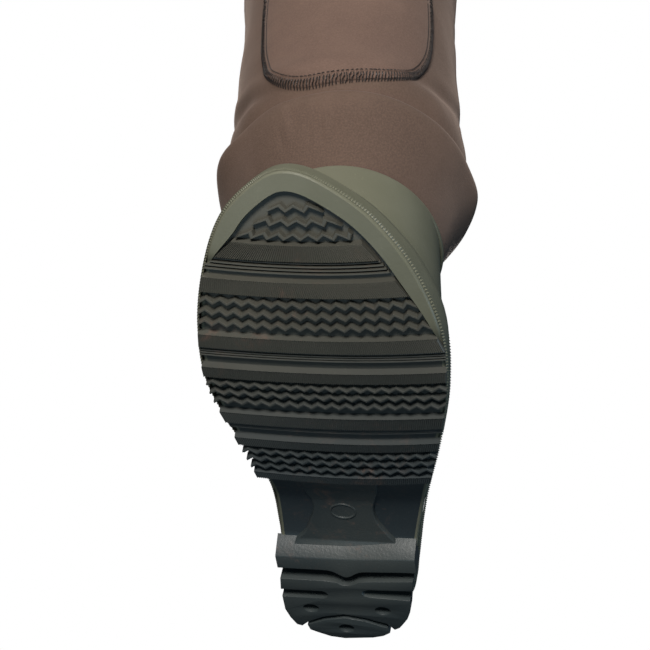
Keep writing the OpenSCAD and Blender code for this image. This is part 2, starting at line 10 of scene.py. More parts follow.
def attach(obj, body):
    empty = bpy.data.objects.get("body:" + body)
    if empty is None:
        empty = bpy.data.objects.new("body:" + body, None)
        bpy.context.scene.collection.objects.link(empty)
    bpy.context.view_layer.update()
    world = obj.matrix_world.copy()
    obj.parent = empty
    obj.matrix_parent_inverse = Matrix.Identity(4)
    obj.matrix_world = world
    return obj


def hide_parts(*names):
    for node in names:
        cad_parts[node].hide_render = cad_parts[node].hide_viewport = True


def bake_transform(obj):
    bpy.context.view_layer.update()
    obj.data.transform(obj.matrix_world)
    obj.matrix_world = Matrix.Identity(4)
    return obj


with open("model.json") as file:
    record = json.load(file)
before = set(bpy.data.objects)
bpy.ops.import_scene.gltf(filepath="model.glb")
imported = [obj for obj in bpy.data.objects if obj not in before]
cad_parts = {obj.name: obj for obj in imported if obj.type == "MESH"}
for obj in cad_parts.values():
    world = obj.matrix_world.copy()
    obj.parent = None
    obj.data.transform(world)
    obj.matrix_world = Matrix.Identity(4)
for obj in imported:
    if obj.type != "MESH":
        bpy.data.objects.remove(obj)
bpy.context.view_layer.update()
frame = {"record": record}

# Lengths are millimetres in a standing frame, soles at height 0, and become
# metres in the row's frame, whose origin is at the shoulders, in place().
MM = 0.001
SHOULDERS = 1480.0      # height of the shoulders above the soles
STANCE = 244.0          # from the middle to each ankle
LEAN = math.radians(8.9)
TOE_OUT = math.radians(4.0)
FOAM = 4.5              # thickness of the neoprene


# ---- reading tables ---------------------------------------------------------

def smooth_row(table, x):
    """Row of a table at x, on a smooth curve through its rows; each row starts with its position."""
    last = len(table) - 1
    i = 0
    while i < last - 1 and x > table[i + 1][0]:
        i += 1
    span = table[i + 1][0] - table[i][0]
    u = min(max((x - table[i][0]) / span, 0.0), 1.0)
    row = [x]
    for k in range(1, len(table[0])):
        a, b = table[i][k], table[i + 1][k]
        before = (b - table[i - 1][k]) / (table[i + 1][0] - table[i - 1][0]) if i > 0 else (b - a) / span
        after = (table[i + 2][k] - a) / (table[i + 2][0] - table[i][0]) if i + 2 <= last else (b - a) / span
        if (b - a) * before < 0:
            before = 0.0
        if (b - a) * after < 0:
            after = 0.0
        u2, u3 = u * u, u * u * u
        row.append((2 * u3 - 3 * u2 + 1) * a + (u3 - 2 * u2 + u) * before * span
                   + (3 * u2 - 2 * u3) * b + (u3 - u2) * after * span)
    return row


def straight(table, x):
    """Second column of a table at x, in straight lines."""
    return float(np.interp(x, [r[0] for r in table], [r[1] for r in table]))


def step(x, low, high):
    """0 below low, 1 above high, smooth between."""
    u = min(max((x - low) / (high - low), 0.0), 1.0)
    return u * u * (3 - 2 * u)


def bump(x, middle, width):
    return math.exp(-((x - middle) / width) ** 2)


def around(angle, middle):
    """Difference of two angles in degrees, -180 to 180."""
    return (angle - middle + 180) % 360 - 180


# ---- the places of things ------------------------------------------------------

def place(p):
    return Vector((p[0] * MM, p[1] * MM, (p[2] - SHOULDERS) * MM))


def on_leg(x, y, h):
    """Standing point from the left leg's own frame: h runs up the leg from the ankle's foot."""
    return (STANCE + x * math.cos(LEAN) - h * math.sin(LEAN), y, x * math.sin(LEAN) + h * math.cos(LEAN))


def on_boot(x, t, z):
    """Standing point from the left boot's frame: t runs from the back of the heel to the toe."""
    y = ANKLE_BACK - t
    return (STANCE + x * math.cos(TOE_OUT) - y * math.sin(TOE_OUT),
            x * math.sin(TOE_OUT) + y * math.cos(TOE_OUT), z)


# ---- meshes -------------------------------------------------------------------

def add_mesh(name, points, faces, material, crease=50):
    """A piece from standing points in millimetres."""
    mesh = bpy.data.meshes.new(name)
    mesh.from_pydata([place(p) for p in points], [], faces)
    bm = bmesh.new()
    bm.from_mesh(mesh)
    bmesh.ops.remove_doubles(bm, verts=bm.verts, dist=1e-6)
    bmesh.ops.dissolve_degenerate(bm, dist=1e-7, edges=bm.edges)
    bmesh.ops.recalc_face_normals(bm, faces=bm.faces)
    bm.to_mesh(mesh)
    bm.free()
    mesh.polygons.foreach_set("use_smooth", [True] * len(mesh.polygons))
    mesh.set_sharp_from_angle(angle=math.radians(crease))
    mesh.materials.append(material)
    obj = bpy.data.objects.new(name, mesh)
    bpy.context.scene.collection.objects.link(obj)
    return obj


class Build:
    """Collects grids and outlines into one piece."""

    def __init__(self):
        self.points = []
        self.faces = []

    def grid(self, rows, loop=False):
        """Faces over rows of points; loop joins each row's end to its start."""
        base = len(self.points)
        wide = len(rows[0])
        for row in rows:
            self.points.extend(row)
        for i in range(len(rows) - 1):
            for j in range(wide if loop else wide - 1):
                k = (j + 1) % wide
                self.faces.append((base + i * wide + j, base + i * wide + k,
                                   base + (i + 1) * wide + k, base + (i + 1) * wide + j))

    def sheet(self, outer, inner, loop=False):
        """A sheet with thickness: outer and inner rows, and its edges closed."""
        self.grid(outer, loop)
        self.grid(inner, loop)
        self.grid([outer[0], inner[0]], loop)
        self.grid([outer[-1], inner[-1]], loop)
        if not loop:
            self.grid([[r[0] for r in outer], [r[0] for r in inner]])
            self.grid([[r[-1] for r in outer], [r[-1] for r in inner]])

    def bar(self, loops):
        """A solid through closed loops of points, with its two ends closed."""
        self.grid(loops, loop=True)
        for ends in (loops[0], loops[-1]):
            base = len(self.points)
            self.points.extend(ends)
            self.faces.append(tuple(range(base, base + len(ends))))

    def obj(self, name, material, crease=50):
        return add_mesh(name, self.points, self.faces, material, crease)


def mirrored(obj, name):
    """The same piece on the wearer's right."""
    mesh = obj.data.copy()
    mesh.transform(Matrix.Scale(-1, 4, (1, 0, 0)))
    mesh.flip_normals()
    twin = bpy.data.objects.new(name, mesh)
    bpy.context.scene.collection.objects.link(twin)
    return twin


# ---- materials -----------------------------------------------------------------

class Nodes:
    """A material and short ways to add its nodes."""

    def __init__(self, name, color, rough, sheen=0.0, metallic=0.0, specular=0.5):
        self.material = bpy.data.materials.new(name)
        self.material.use_nodes = True
        self.tree = self.material.node_tree
        self.bsdf = self.tree.nodes["Principled BSDF"]
        self.bsdf.inputs["Base Color"].default_value = (*color, 1)
        self.bsdf.inputs["Roughness"].default_value = rough
        self.bsdf.inputs["Metallic"].default_value = metallic
        self.bsdf.inputs["Specular IOR Level"].default_value = specular
        self.bsdf.inputs["Sheen Weight"].default_value = sheen
        self.bsdf.inputs["Sheen Roughness"].default_value = 0.45
        self.where = self.add("ShaderNodeTexCoord").outputs["Object"]

    def add(self, kind, **values):
        node = self.tree.nodes.new(kind)
        for key, value in values.items():
            if hasattr(node, key):
                setattr(node, key, value)
            else:
                self.set(node.inputs[key.replace("_", " ")], value)
        return node

    def set(self, socket, value):
        if isinstance(value, bpy.types.NodeSocket):
            self.tree.links.new(value, socket)
        else:
            socket.default_value = value

    def noise(self, scale, detail=4.0, rough=0.5, where=None, distort=0.0):
        node = self.add("ShaderNodeTexNoise")
        self.set(node.inputs["Vector"], where or self.where)
        self.set(node.inputs["Scale"], scale)
        self.set(node.inputs["Detail"], detail)
        self.set(node.inputs["Roughness"], rough)
        self.set(node.inputs["Distortion"], distort)
        return node.outputs["Fac"]

    def ramp(self, value, low, high, to_low=0.0, to_high=1.0):
        node = self.add("ShaderNodeMapRange")
        node.interpolation_type = "SMOOTHSTEP"
        for name, v in (("Value", value), ("From Min", low), ("From Max", high),
                        ("To Min", to_low), ("To Max", to_high)):
            self.set(node.inputs[name], v)
        return node.outputs["Result"]

    def math(self, op, a, b=0.0):
        node = self.add("ShaderNodeMath", operation=op)
        self.set(node.inputs[0], a)
        self.set(node.inputs[1], b)
        return node.outputs[0]

    def mix(self, share, a, b, blend="MIX"):
        node = self.add("ShaderNodeMix", data_type="RGBA", blend_type=blend)
        self.set(node.inputs[0], share)
        for socket, value in ((node.inputs[6], a), (node.inputs[7], b)):
            self.set(socket, (*value, 1) if isinstance(value, tuple) and len(value) == 3 else value)
        return node.outputs[2]

    def part(self, axis, where=None):
        node = self.add("ShaderNodeSeparateXYZ")
        self.set(node.inputs[0], where or self.where)
        return node.outputs[axis]

    def color(self, value):
        self.set(self.bsdf.inputs["Base Color"], value)

    def rough(self, value):
        self.set(self.bsdf.inputs["Roughness"], value)

    def relief(self, height, distance, strength=1.0, under=None):
        """Adds bump; distance in metres."""
        node = self.add("ShaderNodeBump")
        self.set(node.inputs["Height"], height)
        self.set(node.inputs["Distance"], distance)
        self.set(node.inputs["Strength"], strength)
        if under is not None:
            self.set(node.inputs["Normal"], under)
        self.set(self.bsdf.inputs["Normal"], node.outputs["Normal"])
        return node.outputs["Normal"]


def neoprene_material(name, color, lift=1.0):
    """Foam with a knitted nylon face: fine knit, soft sheen and slightly uneven colour."""
    m = Nodes(name, color, 0.82, sheen=0.32, specular=0.25)
    m.bsdf.inputs["Sheen Tint"].default_value = (0.75, 0.6, 0.52, 1)
    cloud = m.noise(9.0, 5.0, 0.6)
    fleck = m.noise(900.0, 2.0, 0.6)
    dark = tuple(c * 0.80 for c in color)
    light = tuple(c * 1.20 * lift for c in color)
    base = m.mix(m.ramp(cloud, 0.35, 0.68), dark, light)
    m.color(m.mix(m.ramp(fleck, 0.3, 0.75, 0.0, 0.5), base, tuple(c * 1.45 for c in color)))
    knit = m.add("ShaderNodeTexVoronoi", feature="F1")
    m.set(knit.inputs["Vector"], m.where)
    m.set(knit.inputs["Scale"], 1250.0)
    first = m.relief(knit.outputs["Distance"], 0.00025, 0.5)
    m.relief(m.noise(60.0, 3.0, 0.5), 0.0012, 0.35, under=first)
    return m.material


def rubber_material(name, color, tint, dirt, heel=None, dirt_color=(0.20, 0.125, 0.095), rough=0.42,
                    grain=0.35):
    """Moulded rubber: satin, faintly mottled, with dried mud where dirt says, and painted shade going over to
    the heel colour towards the heel where one is given.
    """
    m = Nodes(name, color, rough, specular=0.42)
    cloud = m.noise(14.0, 6.0, 0.6)
    base = m.mix(m.ramp(cloud, 0.35, 0.7), color, tint)
    # painted shade: towards the heel and waist (object Y from -0.20 to -0.03 m) the colour goes over to the
    # heel colour, a dark bluish slate standing for the dim blue light that falls there
    if heel:
        base = m.mix(m.ramp(m.part(1), -0.20, -0.03), base, heel)
    speck = m.noise(420.0, 3.0, 0.7)
    base = m.mix(m.ramp(speck, 0.62, 0.8, 0.0, 0.25), base, tuple(c * 2.2 for c in color))
    if dirt > 0:
        smear = m.noise(55.0, 10.0, 0.78, distort=0.8)
        patch = m.noise(16.0, 4.0, 0.6)
        mask = m.math("MULTIPLY", m.ramp(smear, 0.50, 0.66), m.ramp(patch, 0.50, 0.66))
        crumbs = m.math("MULTIPLY", m.ramp(m.noise(260.0, 4.0, 0.7), 0.62, 0.74),
                        m.ramp(patch, 0.44, 0.60, 0.0, 0.7))
        mask = m.math("MULTIPLY", m.math("MAXIMUM", mask, crumbs), dirt)
        base = m.mix(mask, base, dirt_color)
        m.rough(m.ramp(mask, 0.0, 1.0, rough, 0.9))
    m.color(base)
    fine = m.relief(m.noise(700.0, 2.0, 0.6), 0.00018, grain)
    m.relief(m.noise(45.0, 3.0, 0.5), 0.0006, 0.25, under=fine)
    return m.material


def webbing_material(name, color, along=2):
    """Woven tape: close ribs across the tape and fine threads."""
    m = Nodes(name, color, 0.7, sheen=0.15, specular=0.3)
    rib = m.add("ShaderNodeTexWave", wave_type="BANDS", bands_direction="XYZ"[along])
    m.set(rib.inputs["Vector"], m.where)
    m.set(rib.inputs["Scale"], 190.0)
    thread = m.add("ShaderNodeTexWave", wave_type="BANDS", bands_direction="X")
    m.set(thread.inputs["Vector"], m.where)
    m.set(thread.inputs["Scale"], 330.0)
    weave = m.math("MULTIPLY", rib.outputs["Fac"], thread.outputs["Fac"])
    m.color(m.mix(m.ramp(weave, 0.1, 0.9), tuple(c * 0.65 for c in color), tuple(c * 1.5 for c in color)))
    m.relief(weave, 0.0005, 0.7)
    return m.material


def plastic_material(name, color):
    m = Nodes(name, color, 0.42, specular=0.5)
    grain = m.noise(1500.0, 2.0, 0.5)
    m.rough(m.ramp(m.noise(30.0, 3.0, 0.5), 0.3, 0.7, 0.36, 0.52))
    m.color(m.mix(m.ramp(grain, 0.4, 0.7), color, tuple(c * 1.5 for c in color)))
    m.relief(grain, 0.00012, 0.5)
    return m.material


def metal_material(name, color):
    m = Nodes(name, color, 0.3, metallic=1.0)
    m.rough(m.ramp(m.noise(220.0, 4.0, 0.6), 0.3, 0.7, 0.22, 0.42))
    m.relief(m.noise(900.0, 2.0, 0.5), 0.00005, 0.4)
    return m.material


def thread_material(name, color):
    m = Nodes(name, color, 0.75, sheen=0.2)
    twist = m.noise(1400.0, 2.0, 0.5)
    m.color(m.mix(m.ramp(twist, 0.35, 0.7), color, tuple(c * 1.8 for c in color)))
    m.relief(twist, 0.0002, 0.6)
    return m.material


NEOPRENE = neoprene_material("brown_neoprene", (0.135, 0.088, 0.066))
PATCH = neoprene_material("patch_neoprene", (0.165, 0.106, 0.082))
LINING = neoprene_material("dark_lining", (0.022, 0.022, 0.025))
OLIVE = rubber_material("olive_rubber", (0.165, 0.165, 0.115), (0.195, 0.195, 0.142), 0.0)
# The sole's heel colour is painted shade: dark bluish slate for the dim blue light under the heel; the brown
# smears are mud.
SOLE = rubber_material("sole_rubber", (0.092, 0.090, 0.074), (0.115, 0.112, 0.092), 0.55,
                       heel=(0.040, 0.052, 0.058))
# Rubber for the heel blocks, heel bar and waist plate: the sole's rubber painted dark bluish slate, painted
# shade for the dim blue light there; its smears are mud.
SHADED_HEEL_RUBBER = rubber_material("heel_rubber_painted_shade", (0.042, 0.054, 0.057), (0.062, 0.072, 0.070), 0.6, grain=0.6)
WEBBING = webbing_material("dark_webbing", (0.028, 0.022, 0.018))
BINDING = thread_material("binding_tape", (0.020, 0.019, 0.019))
THREAD = thread_material("dark_thread", (0.020, 0.014, 0.012))
BUCKLE = plastic_material("black_plastic", (0.018, 0.018, 0.020))
METAL = metal_material("satin_steel", (0.55, 0.55, 0.56))


# ---- boot: shape ------------------------------------------------------------------

SOLE_LENGTH = 306.0
ANKLE_BACK = 68.0
TOE_RISE = 30.0
TOE_START = 195.0
LUG = 4.0
RUBBER = 3.0

# Outline of the outsole, every 15 degrees of its length: outer X, inner X
OUTLINE = ((-1, -1), (15, -24), (31, -34), (36.5, -35.5), (42, -33), (50, -32.5), (60, -41.5),
           (67.5, -50.8), (68, -50), (57.5, -43.7), (39, -33.5), (16, -17), (-2, -2))
# Boot in level slices: height, back, front, width scale of the outline, half
# width once oval, how oval, share of the lean, tilt of the slice
BOOT = ((10, 2.5, 301, 0.97, 38, 0, 0, 0), (22, 1.5, 302, 0.98, 38, 0, 0, 0),
        (34, 1.5, 294, 0.94, 38, 0, 0.02, 0),
        (46, 2.5, 283, 0.89, 39, 0.05, 0.05, 0), (56, 4, 270, 0.82, 39, 0.15, 0.1, 0),
        (64, 5, 255, 0.76, 39, 0.25, 0.15, 0), (72, 6, 236, 0.72, 39, 0.4, 0.2, 0),
        (82, 7, 208, 0.68, 39.5, 0.6, 0.3, 0), (96, 8, 178, 0.66, 41, 0.8, 0.4, 0),
        (116, 8.5, 156, 0.66, 43.5, 1, 0.5, 0), (145, 8, 142, 0.66, 48, 1, 0.65, 0.25),
        (180, 7, 137, 0.66, 53, 1, 0.8, 0.6), (212, 7, 136.5, 0.66, 57, 1, 0.95, 0.9),
        (243.5, 8, 136, 0.66, 58.5, 1, 1, 1))
SOLE_TOP = ((0, 24), (60, 24), (110, 19), (160, 10.5), (306, 9.5))
# Level of the outsole's underside between its lugs
SOLE_BASE = ((0, 7), (66, 7), (71, 11), (80, 11.4), (104, 11.2), (116, 8.5), (123, 6), (127, LUG), (306, LUG))


def edge_x(angle, side):
    """X of the outsole's edge; the angle runs 0 to 180 from heel to toe."""
    u = min(max(angle / 15.0, 0.0), 11.9999)
    i = int(u)
    last = len(OUTLINE) - 1

    def value(k):
        if k < 0:
            return OUTLINE[-k][1 - side]
        if k > last:
            return OUTLINE[2 * last - k][1 - side]
        return OUTLINE[k][side]
    p0, p1, p2, p3 = value(i - 1), value(i), value(i + 1), value(i + 2)
    t = u - i
    return p1 + 0.5 * t * (p2 - p0 + t * (2 * p0 - 5 * p1 + 4 * p2 - p3 + t * (3 * (p1 - p2) + p3 - p0)))


def angle_at(t):
    return math.degrees(math.acos(min(max(1 - 2 * t / SOLE_LENGTH, -1), 1)))


def outer_edge(t):
    return edge_x(angle_at(t), 0)


def inner_edge(t):
    return edge_x(angle_at(t), 1)


def spring(t):
    return TOE_RISE * (max(t - TOE_START, 0) / (SOLE_LENGTH - TOE_START)) ** 2


def slope(t):
    return math.atan(2 * TOE_RISE * max(t - TOE_START, 0) / (SOLE_LENGTH - TOE_START) ** 2)


def sole_point(x, t, n):
    """Point n above the ground side of the outsole, square to its curve."""
    s = slope(t)
    return on_boot(x, t - n * math.sin(s), spring(t) + n * math.cos(s))


def boot_xtz(z, angle, out):
    """Boot wall: the angle is 0 at the heel, 180 at the toe."""
    r = smooth_row(BOOT, z)
    half = angle <= 180
    a = angle if half else 360 - angle
    sign = 1 if half else -1
    t = r[1] - out + (r[2] + out - (r[1] - out)) * (1 - math.cos(math.radians(a))) / 2
    flat = edge_x(a, 0 if half else 1) * r[3]
    oval = sign * r[4] * math.sin(math.radians(a))
    x = flat + (oval - flat) * r[5] + sign * out * math.sin(math.radians(a)) - z * math.tan(LEAN) * r[6]
    low = min(max((120 - z) / 60, 0), 1)
    high = z + spring(t) * low + (x + z * math.tan(LEAN)) * math.tan(LEAN) * r[7]
    return x, t - z * math.sin(slope(t)) * low, high


def boot_wall(z, angle, out):
    x, t, high = boot_xtz(z, angle, out)
    floor = straight(SOLE_TOP, t) + spring(t)
    return on_boot(x, t, max(high, floor + (z - 9.5) * 0.35))


def boot_shell():
    """The boot's upper, from the outsole to the top of its shaft, with its thickness."""
    count = 128
    angles = [360 * j / count for j in range(count)]
    levels = [9.5 + 234 * (i / 52) for i in range(53)]

    def out_at(z, angle):
        ankle = 1.6 * bump(z, 104, 8) * bump(around(angle, 180), 0, 60)
        soft = 0.7 * noise.noise(Vector((math.cos(math.radians(angle)) * 1.4,
                                         math.sin(math.radians(angle)) * 1.4, z / 60)))
        return soft - ankle
    outer = [[boot_wall(z, a, out_at(z, a)) for a in angles] for z in levels]
    inner = [[boot_wall(z, a, -RUBBER) for a in angles] for z in levels if z > 30]
    b = Build()
    b.sheet(outer, inner, loop=True)
    return b.obj("left_boot_upper", OLIVE, 60)


def normal_inset(points, distance):
    """Moves a closed outline of (x, t) inwards by a distance for each point."""
    n = len(points)
    moved = []
    for i in range(n):
        ax, at = points[i - 1]
        bx, bt = points[(i + 1) % n]
        dx, dt = bx - ax, bt - at
        length = math.hypot(dx, dt) or 1.0
        moved.append((points[i][0] - dt / length * distance[i], points[i][1] + dx / length * distance[i]))
    return moved


def sole_outline(count):
    """Edge of the outsole once round as (x, t), from the heel along the outer side,
            and each point's angle."""
    angles = [360 * (j + 0.5) / count for j in range(count)]
    points = []
    for a in angles:
        turn = a if a <= 180 else 360 - a
        points.append((edge_x(turn, 0 if a <= 180 else 1),
                       SOLE_LENGTH * (1 - math.cos(math.radians(turn))) / 2))
    return points, angles


def grip_band():
    """The foxing round the outsole's wall with its rows of small moulded diamonds."""
    rows = 7
    count = 940
    outline, _ = sole_outline(count)
    b = Build()
    grid = []
    for i in range(rows * 2 + 1):
        outs = []
        for j in range(count):
            peak = (i + j) % 2 == 1
            outs.append(-0.1 if i in (0, rows * 2) else (-1.35 if peak else -0.35))
        high = 1.6 + 10.6 * i / (rows * 2)
        grid.append([sole_point(x, t, high + straight(SOLE_TOP, y[1]) - 9.5)
                     for (x, t), y in zip(normal_inset(outline, outs), outline)])
    b.grid(grid, loop=True)
    return b.obj("left_grip_diamonds", OLIVE, 20)


RIM = 8.5               # width of the smooth rim round the toe
RIM_OUTER = (212.0, 268.0)
RIM_INNER = (258.0, 286.0)


def outsole_rings(count):
    """Rings from the top of the outsole's wall, round its edge and in to the sunken field."""
    outline, angles = sole_outline(count)
    ts = [p[1] for p in outline]
    rim = [0.8 + (RIM - 0.8) * step(t, *(RIM_OUTER if a < 180 else RIM_INNER)) for t, a in zip(ts, angles)]
    base = [straight(SOLE_BASE, t) for t in ts]
    edge = [b - b * step(r, 1.0, 3.5) for b, r in zip(base, rim)]
    top = [straight(SOLE_TOP, t) for t in ts]

    def ring(inset, levels):
        return [sole_point(p[0], p[1], n) for p, n in zip(normal_inset(outline, inset), levels)]
    return [
        ring([9.0] * count, [n + 3.0 for n in top]),
        ring([0.6] * count, [n + 2.9 for n in top]),
        ring([0.0] * count, [n + 2.2 for n in top]),
        ring([0.0] * count, [e + 1.4 for e in edge]),
        ring([0.4] * count, [e + 0.5 for e in edge]),
        ring([1.0] * count, edge),
        ring([max(r, 1.6) for r in rim], edge),
        ring([max(r, 1.6) + 0.4 for r in rim], base)]


def outsole_rim():
    """The outsole's wall and the smooth rim round its toe."""
    b = Build()
    b.grid(outsole_rings(240), loop=True)
    return b.obj("left_outsole_rim", OLIVE, 35)


def outsole_field():
    """The sunken underside that the lugs stand on, laid across from edge to edge."""
    count = 240
    across = 10
    field = outsole_rings(count)[-1]
    lines = []
    for j in range(count // 2):
        p, q = Vector(field[j]), Vector(field[count - 1 - j])
        lines.append([tuple(p.lerp(q, k / across)) for k in range(across + 1)])
    b = Build()
    b.grid(lines)
    return b.obj("left_outsole_field", SOLE, 35)


BARS = ((274, 266), (256, 248), (225, 217), (205, 198), (174, 166), (156, 150), (131, 126))
ZIGZAGS = ((294, 275), (247, 229), (197, 179), (149, 133))
RIDGES = ((266, 259), (217, 211), (166, 162))
BOW = 3.0               # how far the ends of a bar lie nearer the toe


def bow(x, t):
    m, l = inner_edge(t), outer_edge(t)
    u = (x - (m + l) / 2) / ((l - m) / 2)
    return BOW * u * u * (1.15 if u > 0 else 0.75) - BOW * 0.3


def field_edges(t):
    """Where the tread ends on each side: at the rim round the toe, at the edge elsewhere."""
    widen = 1 / max(math.sin(math.radians(angle_at(min(t + 5, 305)))), 0.42)
    inner, outer = RIM * step(t, *RIM_INNER), RIM * step(t, *RIM_OUTER)
    return (inner_edge(t) + (inner * widen if inner > 0.8 else -0.5),
            outer_edge(t) - (outer * widen if outer > 0.8 else -0.5))


def strip(b, t_mid, profile, pitch, change):
    """A lug across the sole: profile is (dt, n) round its section, change alters each column."""
    m, l = field_edges(t_mid)
    count = max(int((l - m) / pitch), 2)
    loops = []
    for k in range(count + 1):
        share = k / count
        bent = t_mid + bow(m + (l - m) * share, t_mid)
        loop = []
        for dt, n in change(k, profile):
            low, high = field_edges(min(bent + dt, 301))
            loop.append(sole_point(low + (high - low) * share, bent + dt, n))
        loops.append(loop)
    b.bar(loops)


def tread_bars():
    b = Build()

    def knurled(k, profile):
        cut = 0.6 if k % 2 else 0.0
        return [(dt, n + cut * (n < 1.5 and dt < half)) for dt, n in profile]
    for high, low in BARS:
        half = (high - low) / 2 - 0.1
        base = LUG + 0.6
        profile = [(half + 1.0, base), (half + 0.1, 0.25), (half - 0.2, 0.0), (half - 1.0, 0.0),
                   (-half + 0.3, 0.0),
                   (-half, 0.4), (-half + 0.3, base)]
        strip(b, (high + low) / 2, profile, 0.5, knurled)
    return b.obj("left_tread_bars_detail", SOLE, 25)


def tread_zigzags():
    b = Build()
    pitch = 3.5
    for high, low in ZIGZAGS:
        row = (high - low) / 3
        for i in range(3):
            t = high - row * (i + 0.5)
            profile = [(1.1, LUG + 0.6), (0.65, 0.35), (0.45, 0.0), (-0.5, 0.0), (-0.85, 0.4),
                       (-0.95, LUG + 0.6)]

            def zigzag(k, section):
                side = 1.15 if k % 2 else -1.15
                return [(dt + side, n + (0.25 if k % 2 and n < 1 else 0)) for dt, n in section]
            strip(b, t, profile, pitch, zigzag)
    return b.obj("left_tread_zigzags", SOLE, 12)


def tread_ridges():
    b = Build()
    for high, low in RIDGES:
        for i in range(4):
            t = high - (high - low) * (i + 0.5) / 4
            profile = [(0.75, LUG + 0.6), (0.25, 1.7), (-0.25, 1.6), (-0.45, LUG + 0.6)]
            strip(b, t, profile, 6.0, lambda k, section: section)
    return b.obj("left_tread_ridges", SOLE, 25)


# Heel blocks as outlines of (x, t), seen from below
HEEL_MAIN = ((-35, 48), (-11, 48), (-4, 47), (-1, 45), (2, 45), (5, 46), (8, 48), (14, 49),
             (38, 51), (37, 43), (13, 42), (10, 41), (9, 39), (10, 37), (13, 36), (35, 35),
             (35, 32), (34, 25), (32, 19), (29, 14), (27, 11), (24, 9), (20, 14), (8, 18),
             (-3, 20), (-15, 17), (-24, 12), (-28, 8), (-31, 9), (-34, 15), (-36, 22), (-36, 33),
             (-13, 33), (-11, 34), (-10, 36), (-11, 38), (-13, 39), (-36, 39))
HEEL_REAR = ((-25, 9), (-15, 14), (-3, 17), (8, 15), (20, 10), (21, 6), (17, 3), (11, 1),
             (3, 0), (-5, -1), (-13, 0), (-20, 3), (-24, 5))
HEEL_HOLES = ((-21, 24), (19, 25))
REAR_HOLE = (-3, 8)


def hole_outline(x, t):
    return [(x + 4.3 * math.cos(a), t + 3.2 * math.sin(a)) for a in [2 * math.pi * k / 28 for k in range(28)]]


def block(name, outline, holes, low, high, material):
    """A moulded block from an outline with holes, its edges slightly rounded."""
    curve = bpy.data.curves.new(name, "CURVE")
    curve.dimensions = "2D"
    curve.fill_mode = "BOTH"
    for loop in [outline] + holes:
        spline = curve.splines.new("POLY")
        spline.points.add(len(loop) - 1)
        for point, (x, t) in zip(spline.points, loop):
            point.co = (x, t, 0, 1)
        spline.use_cyclic_u = True
    curve.extrude = (high - low) / 2
    curve.bevel_depth = 0.45
    curve.bevel_resolution = 1
    curve.offset = -0.45
    flat = bpy.data.objects.new(name, curve)
    bpy.context.scene.collection.objects.link(flat)
    bpy.context.view_layer.update()
    mesh = bpy.data.meshes.new_from_object(flat.evaluated_get(bpy.context.evaluated_depsgraph_get()))
    bpy.data.objects.remove(flat)
    middle = (low + high) / 2
    points = [on_boot(v.co.x, v.co.y, middle + v.co.z) for v in mesh.vertices]
    faces = [tuple(p.vertices) for p in mesh.polygons]
    return add_mesh(name, points, faces, material, 40)


def heel_bar():
    """The front bar of the heel with its sloping breast and a rounded bump behind."""
    b = Build()
    loops = []
    count = 48
    for k in range(count + 1):
        x = -35.2 + 75.6 * k / count
        back = 56.2 - 5.2 * bump(x, 1.8, 5.5) + 1.2 * step(x, 10, 38)
        front = 66.0 + 2.0 * step(x, 0, 38)
        loops.append([on_boot(x, front + 5.4, 11.6), on_boot(x, front + 0.3, 0.5),
                      on_boot(x, front - 0.5, 0.0),
                      on_boot(x, back + 0.5, 0.0), on_boot(x, back, 0.5), on_boot(x, back + 0.4, 8.0),
                      on_boot(x, back + 0.6, 12.5)])
    b.bar(loops)
    return b.obj("left_heel_bar", SHADED_HEEL_RUBBER, 35)


PLATE_LEFT = ((66, -27), (70, -25), (77, -19), (86, -15), (95, -12), (103, -12), (111, -14), (126, -15))
PLATE_RIGHT = ((66, 32), (71, 30), (79, 25), (88, 21), (97, 20), (105, 22), (112, 24), (126, 26))


def waist_plate():
    """The raised hourglass plate in the waist, between two scooped hollows."""
    b = Build()
    loops = []
    for i in range(41):
        t = 68.5 + 57.0 * i / 40
        low = straight(SOLE_BASE, t) - 2.8
        m, l = smooth_row(PLATE_LEFT, t)[1], smooth_row(PLATE_RIGHT, t)[1]
        loops.append([on_boot(m - 0.5, t, low + 4), on_boot(m, t, low + 0.5), on_boot(m + 0.6, t, low),
                      on_boot(l - 0.6, t, low), on_boot(l, t, low + 0.5), on_boot(l + 0.5, t, low + 4)])
    b.bar(loops)
    return b.obj("left_waist_plate", SHADED_HEEL_RUBBER, 35)


def waist_mark():
    """A plain moulded oval ring on the waist plate."""
    b = Build()

    def bead(path):
        n = len(path)
        rows = []
        for i, (x, t) in enumerate(path):
            px, pt = path[i - 1]
            qx, qt = path[(i + 1) % n]
            dx, dt = qx - px, qt - pt
            length = math.hypot(dx, dt) or 1
            nx, nt = -dt / length, dx / length
            low = straight(SOLE_BASE, t) - 2.8
            rows.append([on_boot(x + nx * 0.6 * math.cos(a), t + nt * 0.6 * math.cos(a),
                                 low - 0.6 * math.sin(a)) for a in [math.pi * k / 4 for k in range(5)]])
        b.grid(rows + [rows[0]])
    bead([(4.0 + 6.6 * math.cos(a), 95.5 + 5.4 * math.sin(a))
          for a in [2 * math.pi * k / 40 for k in range(40)]])
    return b.obj("left_waist_mark", SHADED_HEEL_RUBBER, 30)


def shaft_lip():
    """The rolled edge at the top of the shaft."""
    b = Build()
    count = 112
    rows = []
    for i in range(13):
        a = 2 * math.pi * i / 12
        row = []
        for j in range(count):
            angle = 360 * j / count
            row.append(leg_place(247.4 + 2.4 * math.sin(a), angle, 1.7 * math.cos(a), table=LIP))
        rows.append(row)
    b.grid(rows, loop=True)
    return b.obj("left_shaft_lip", OLIVE, 60)


# ---- legs: shape -------------------------------------------------------------------

